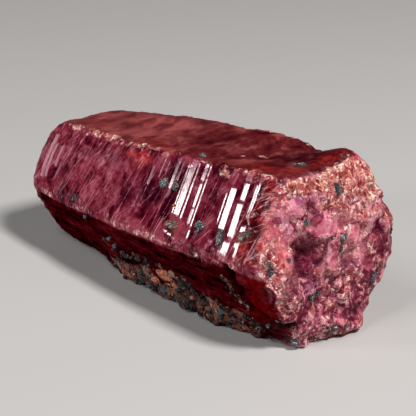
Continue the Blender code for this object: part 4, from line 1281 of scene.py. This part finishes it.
# two thin bands of crust higher up beside the cleft, and a few bits further left
for (x1, f1), (x2, f2), n, wide in (((15.7, 0.20), (18.2, 0.57), 64, 0.24), ((17.4, 0.66), (19.8, 0.82), 34, 0.2),
                                    ((12.6, 0.62), (15.4, 0.74), 22, 0.2), ((-9.8, 0.40), (-7.4, 0.66), 16, 0.3)):
    t = rng.uniform(size=n)
    xs = np.append(xs, x1 + (x2 - x1) * t + rng.normal(size=n) * wide)
    fs = np.append(fs, f1 + (f2 - f1) * t + rng.normal(size=n) * wide / 16)
    loose = np.append(loose, np.ones(n))
fs = np.clip(fs, 0.02, 0.995)
where, out = at_side(LOWER_FRONT, fs, xs)
for k in range(len(xs)):
    near_dark = min(math.hypot(xs[k] - a, (fs[k] - b) * 11) for a, b in DARK_SPOTS)
    near_pale = min(math.hypot(xs[k] - a, (fs[k] - b) * 11) for a, b in PALE_SPOTS)
    orange = math.exp(-((xs[k] - 2.6) / 3.0) ** 2)
    if orange > 0.5 and fs[k] < 0.80 and rng.uniform() < 0.72:      # the big tan lumps stay bare
        continue
    weights = np.array([0.35 + 1.2 * orange, 0.45 + 0.9 * (xs[k] < -4), 1.5,
                        0.60 + 5.0 * math.exp(-(near_dark / 1.0) ** 2),
                        0.22 + 3.0 * math.exp(-(near_pale / 0.8) ** 2), 0.05 + 0.18 * orange, 0.12])
    pick = int(rng.choice(7, p=weights / weights.sum()))
    tint = (TAN, PINK, BROWN, BLACK, SLATE, AMBER, CREAM)[pick]
    size = rng.uniform(0.22, 0.50) ** 1.0 * (0.75 if loose[k] else 1.0)
    size *= 0.80 if xs[k] > 6 or xs[k] < -7 else 1.0
    turn = rng.uniform(0, 360)
    if pick in (3, 4):                                # small books of dark and slate-blue mica
        lean = out[k] + 0.7 * rng.normal(size=3)
        lean = lean / np.linalg.norm(lean)
        stones.add(flake(rng, where[k] + out[k] * 0.05, lean, 2.2 * size, 1.5 * size, turn, 0.30 * size + 0.1, 0.25), tint, 1.0)
    else:
        half = size * np.array([rng.uniform(0.8, 1.5), rng.uniform(0.7, 1.2), rng.uniform(0.4, 0.75)])
        stones.add(chunk(rng, where[k] - out[k] * size * rng.uniform(0.0, 0.3), out[k], half, turn, 11), tint)
# the one orange speck on the front face
p, n = at_side(FRONT, [0.565], [5.40])
stones.add(chunk(rng, p[0] + n[0] * 0.08, n[0], np.array([0.20, 0.16, 0.16]), 20), srgb(226, 112, 30), 0.0)


def small_material(name, mirror, rough_low, rough_high, spread, glint):
    m = Nodes(name)
    shade, shine, _ = m.attribute("extra")
    n = m.tree.nodes.new("ShaderNodeAttribute")
    n.attribute_name = "tint"
    mm = m.place()
    mottle = m.noise(mm, 2.4, 4.0, 0.65, 0.6)
    fine = m.noise(mm, 6.0, 3.0, 0.6)
    deep = m.mix(1.0, n.outputs["Color"], (0.22, 0.17, 0.15), 'MULTIPLY')
    pale = m.mix(0.55, n.outputs["Color"], srgb(214, 216, 214))
    body = m.mix(m.span(mottle, 0.56, 0.40, 0.0, spread), n.outputs["Color"], deep)
    # painted glints: pale specks where the fine noise is high, as strong as glint
    body = m.mix(m.math('MULTIPLY', m.span(fine, 0.54, 0.66), glint), body, pale)
    # painted shade: a low shade value darkens the colour, as at the sunk rim of a mica flake; for a rock grain it is
    # one random tone
    body = m.mix(m.span(shade, 0.30, 0.05, 0.0, 0.9), body, deep)
    m.link(body, m.bsdf.inputs["Base Color"])
    m.link(m.blend(shine, m.span(fine, 0.3, 0.7, rough_low, rough_high), 0.22), m.bsdf.inputs["Roughness"])
    m.link(m.bump(m.math('ADD', mottle, m.math('MULTIPLY', fine, 0.5)), 0.00010, 0.8), m.bsdf.inputs["Normal"])
    m.bsdf.inputs["Specular IOR Level"].default_value = mirror
    return m.mat


flakes = mica.build("mica_flakes")
flakes.data.materials.append(small_material("mica", 0.9, 0.08, 0.30, 0.8, 0.8))
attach(flakes, "root")
crust = stones.build("fused_rock_grains")
crust.data.materials.append(small_material("fused_rock", 0.22, 0.45, 0.80, 0.9, 0.34))
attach(crust, "root")

# =====================================================================
# Floor, lights, world
# =====================================================================
floor_mesh = bpy.data.meshes.new("floor")
floor_mesh.from_pydata([(-1.5, -1.5, 0), (1.5, -1.5, 0), (1.5, 1.5, 0), (-1.5, 1.5, 0)], [], [(0, 1, 2, 3)])
floor = bpy.data.objects.new("floor", floor_mesh)
bpy.context.scene.collection.objects.link(floor)
fm = bpy.data.materials.new("floor")
fm.use_nodes = True
fm.node_tree.nodes["Principled BSDF"].inputs["Base Color"].default_value = (0.52, 0.51, 0.50, 1)
fm.node_tree.nodes["Principled BSDF"].inputs["Roughness"].default_value = 0.9
fm.node_tree.nodes["Principled BSDF"].inputs["Specular IOR Level"].default_value = 0.1
ft = fm.node_tree
where_on_floor = ft.nodes.new("ShaderNodeTexCoord")
far = ft.nodes.new("ShaderNodeVectorMath")
far.operation = 'LENGTH'
ft.links.new(where_on_floor.outputs["Object"], far.inputs[0])
fade = ft.nodes.new("ShaderNodeMapRange")
fade.interpolation_type = 'SMOOTHSTEP'
fade.inputs["From Min"].default_value = 0.13
fade.inputs["From Max"].default_value = 0.42
ft.links.new(far.outputs["Value"], fade.inputs["Value"])
ray = ft.nodes.new("ShaderNodeLightPath")
seen_fade = ft.nodes.new("ShaderNodeMath")
seen_fade.operation = 'MULTIPLY'
ft.links.new(fade.outputs["Result"], seen_fade.inputs[0])
ft.links.new(ray.outputs["Is Camera Ray"], seen_fade.inputs[1])
backdrop = ft.nodes.new("ShaderNodeEmission")
backdrop.inputs["Color"].default_value = (0.62, 0.61, 0.60, 1)
floor_mix = ft.nodes.new("ShaderNodeMixShader")
ft.links.new(seen_fade.outputs[0], floor_mix.inputs[0])
ft.links.new(ft.nodes["Principled BSDF"].outputs[0], floor_mix.inputs[1])
ft.links.new(backdrop.outputs[0], floor_mix.inputs[2])
ft.links.new(floor_mix.outputs[0], ft.nodes["Material Output"].inputs[0])
floor_mesh.materials.append(fm)


def area(name, direction, distance, size, size_y, power, colour=(1, 1, 1)):
    d = Vector(direction).normalized()
    data = bpy.data.lights.new(name, 'AREA')
    data.shape = 'RECTANGLE'
    data.size, data.size_y = size, size_y
    data.energy = power
    data.color = colour
    ob = bpy.data.objects.new(name, data)
    bpy.context.scene.collection.objects.link(ob)
    ob.location = Vector((0.0, 0.0, 0.01)) + d * distance
    ob.rotation_euler = (-d).to_track_quat('-Z', 'Y').to_euler()
    return ob


area("strip_light", (-0.457, -0.860, 0.225), 0.45, 0.095, 0.150, 0.70)
area("end_light", (0.575, 0.10, 0.80), 0.50, 0.10, 0.10, 2.65, (1.0, 0.97, 0.95))
area("front_light", (0.10, -0.60, 0.75), 0.60, 0.22, 0.22, 1.0)

world = bpy.data.worlds.new("world")
bpy.context.scene.world = world
world.use_nodes = True
wt = world.node_tree
shade = wt.nodes["Background"]
shade.inputs["Color"].default_value = (0.018, 0.018, 0.02, 1)
seen = wt.nodes.new("ShaderNodeBackground")
seen.inputs["Color"].default_value = (0.62, 0.61, 0.60, 1)
path = wt.nodes.new("ShaderNodeLightPath")
both = wt.nodes.new("ShaderNodeMixShader")
wt.links.new(path.outputs["Is Camera Ray"], both.inputs[0])
wt.links.new(shade.outputs[0], both.inputs[1])
wt.links.new(seen.outputs[0], both.inputs[2])
wt.links.new(both.outputs[0], wt.nodes["World Output"].inputs[0])

bpy.context.scene.view_settings.view_transform = 'Standard'
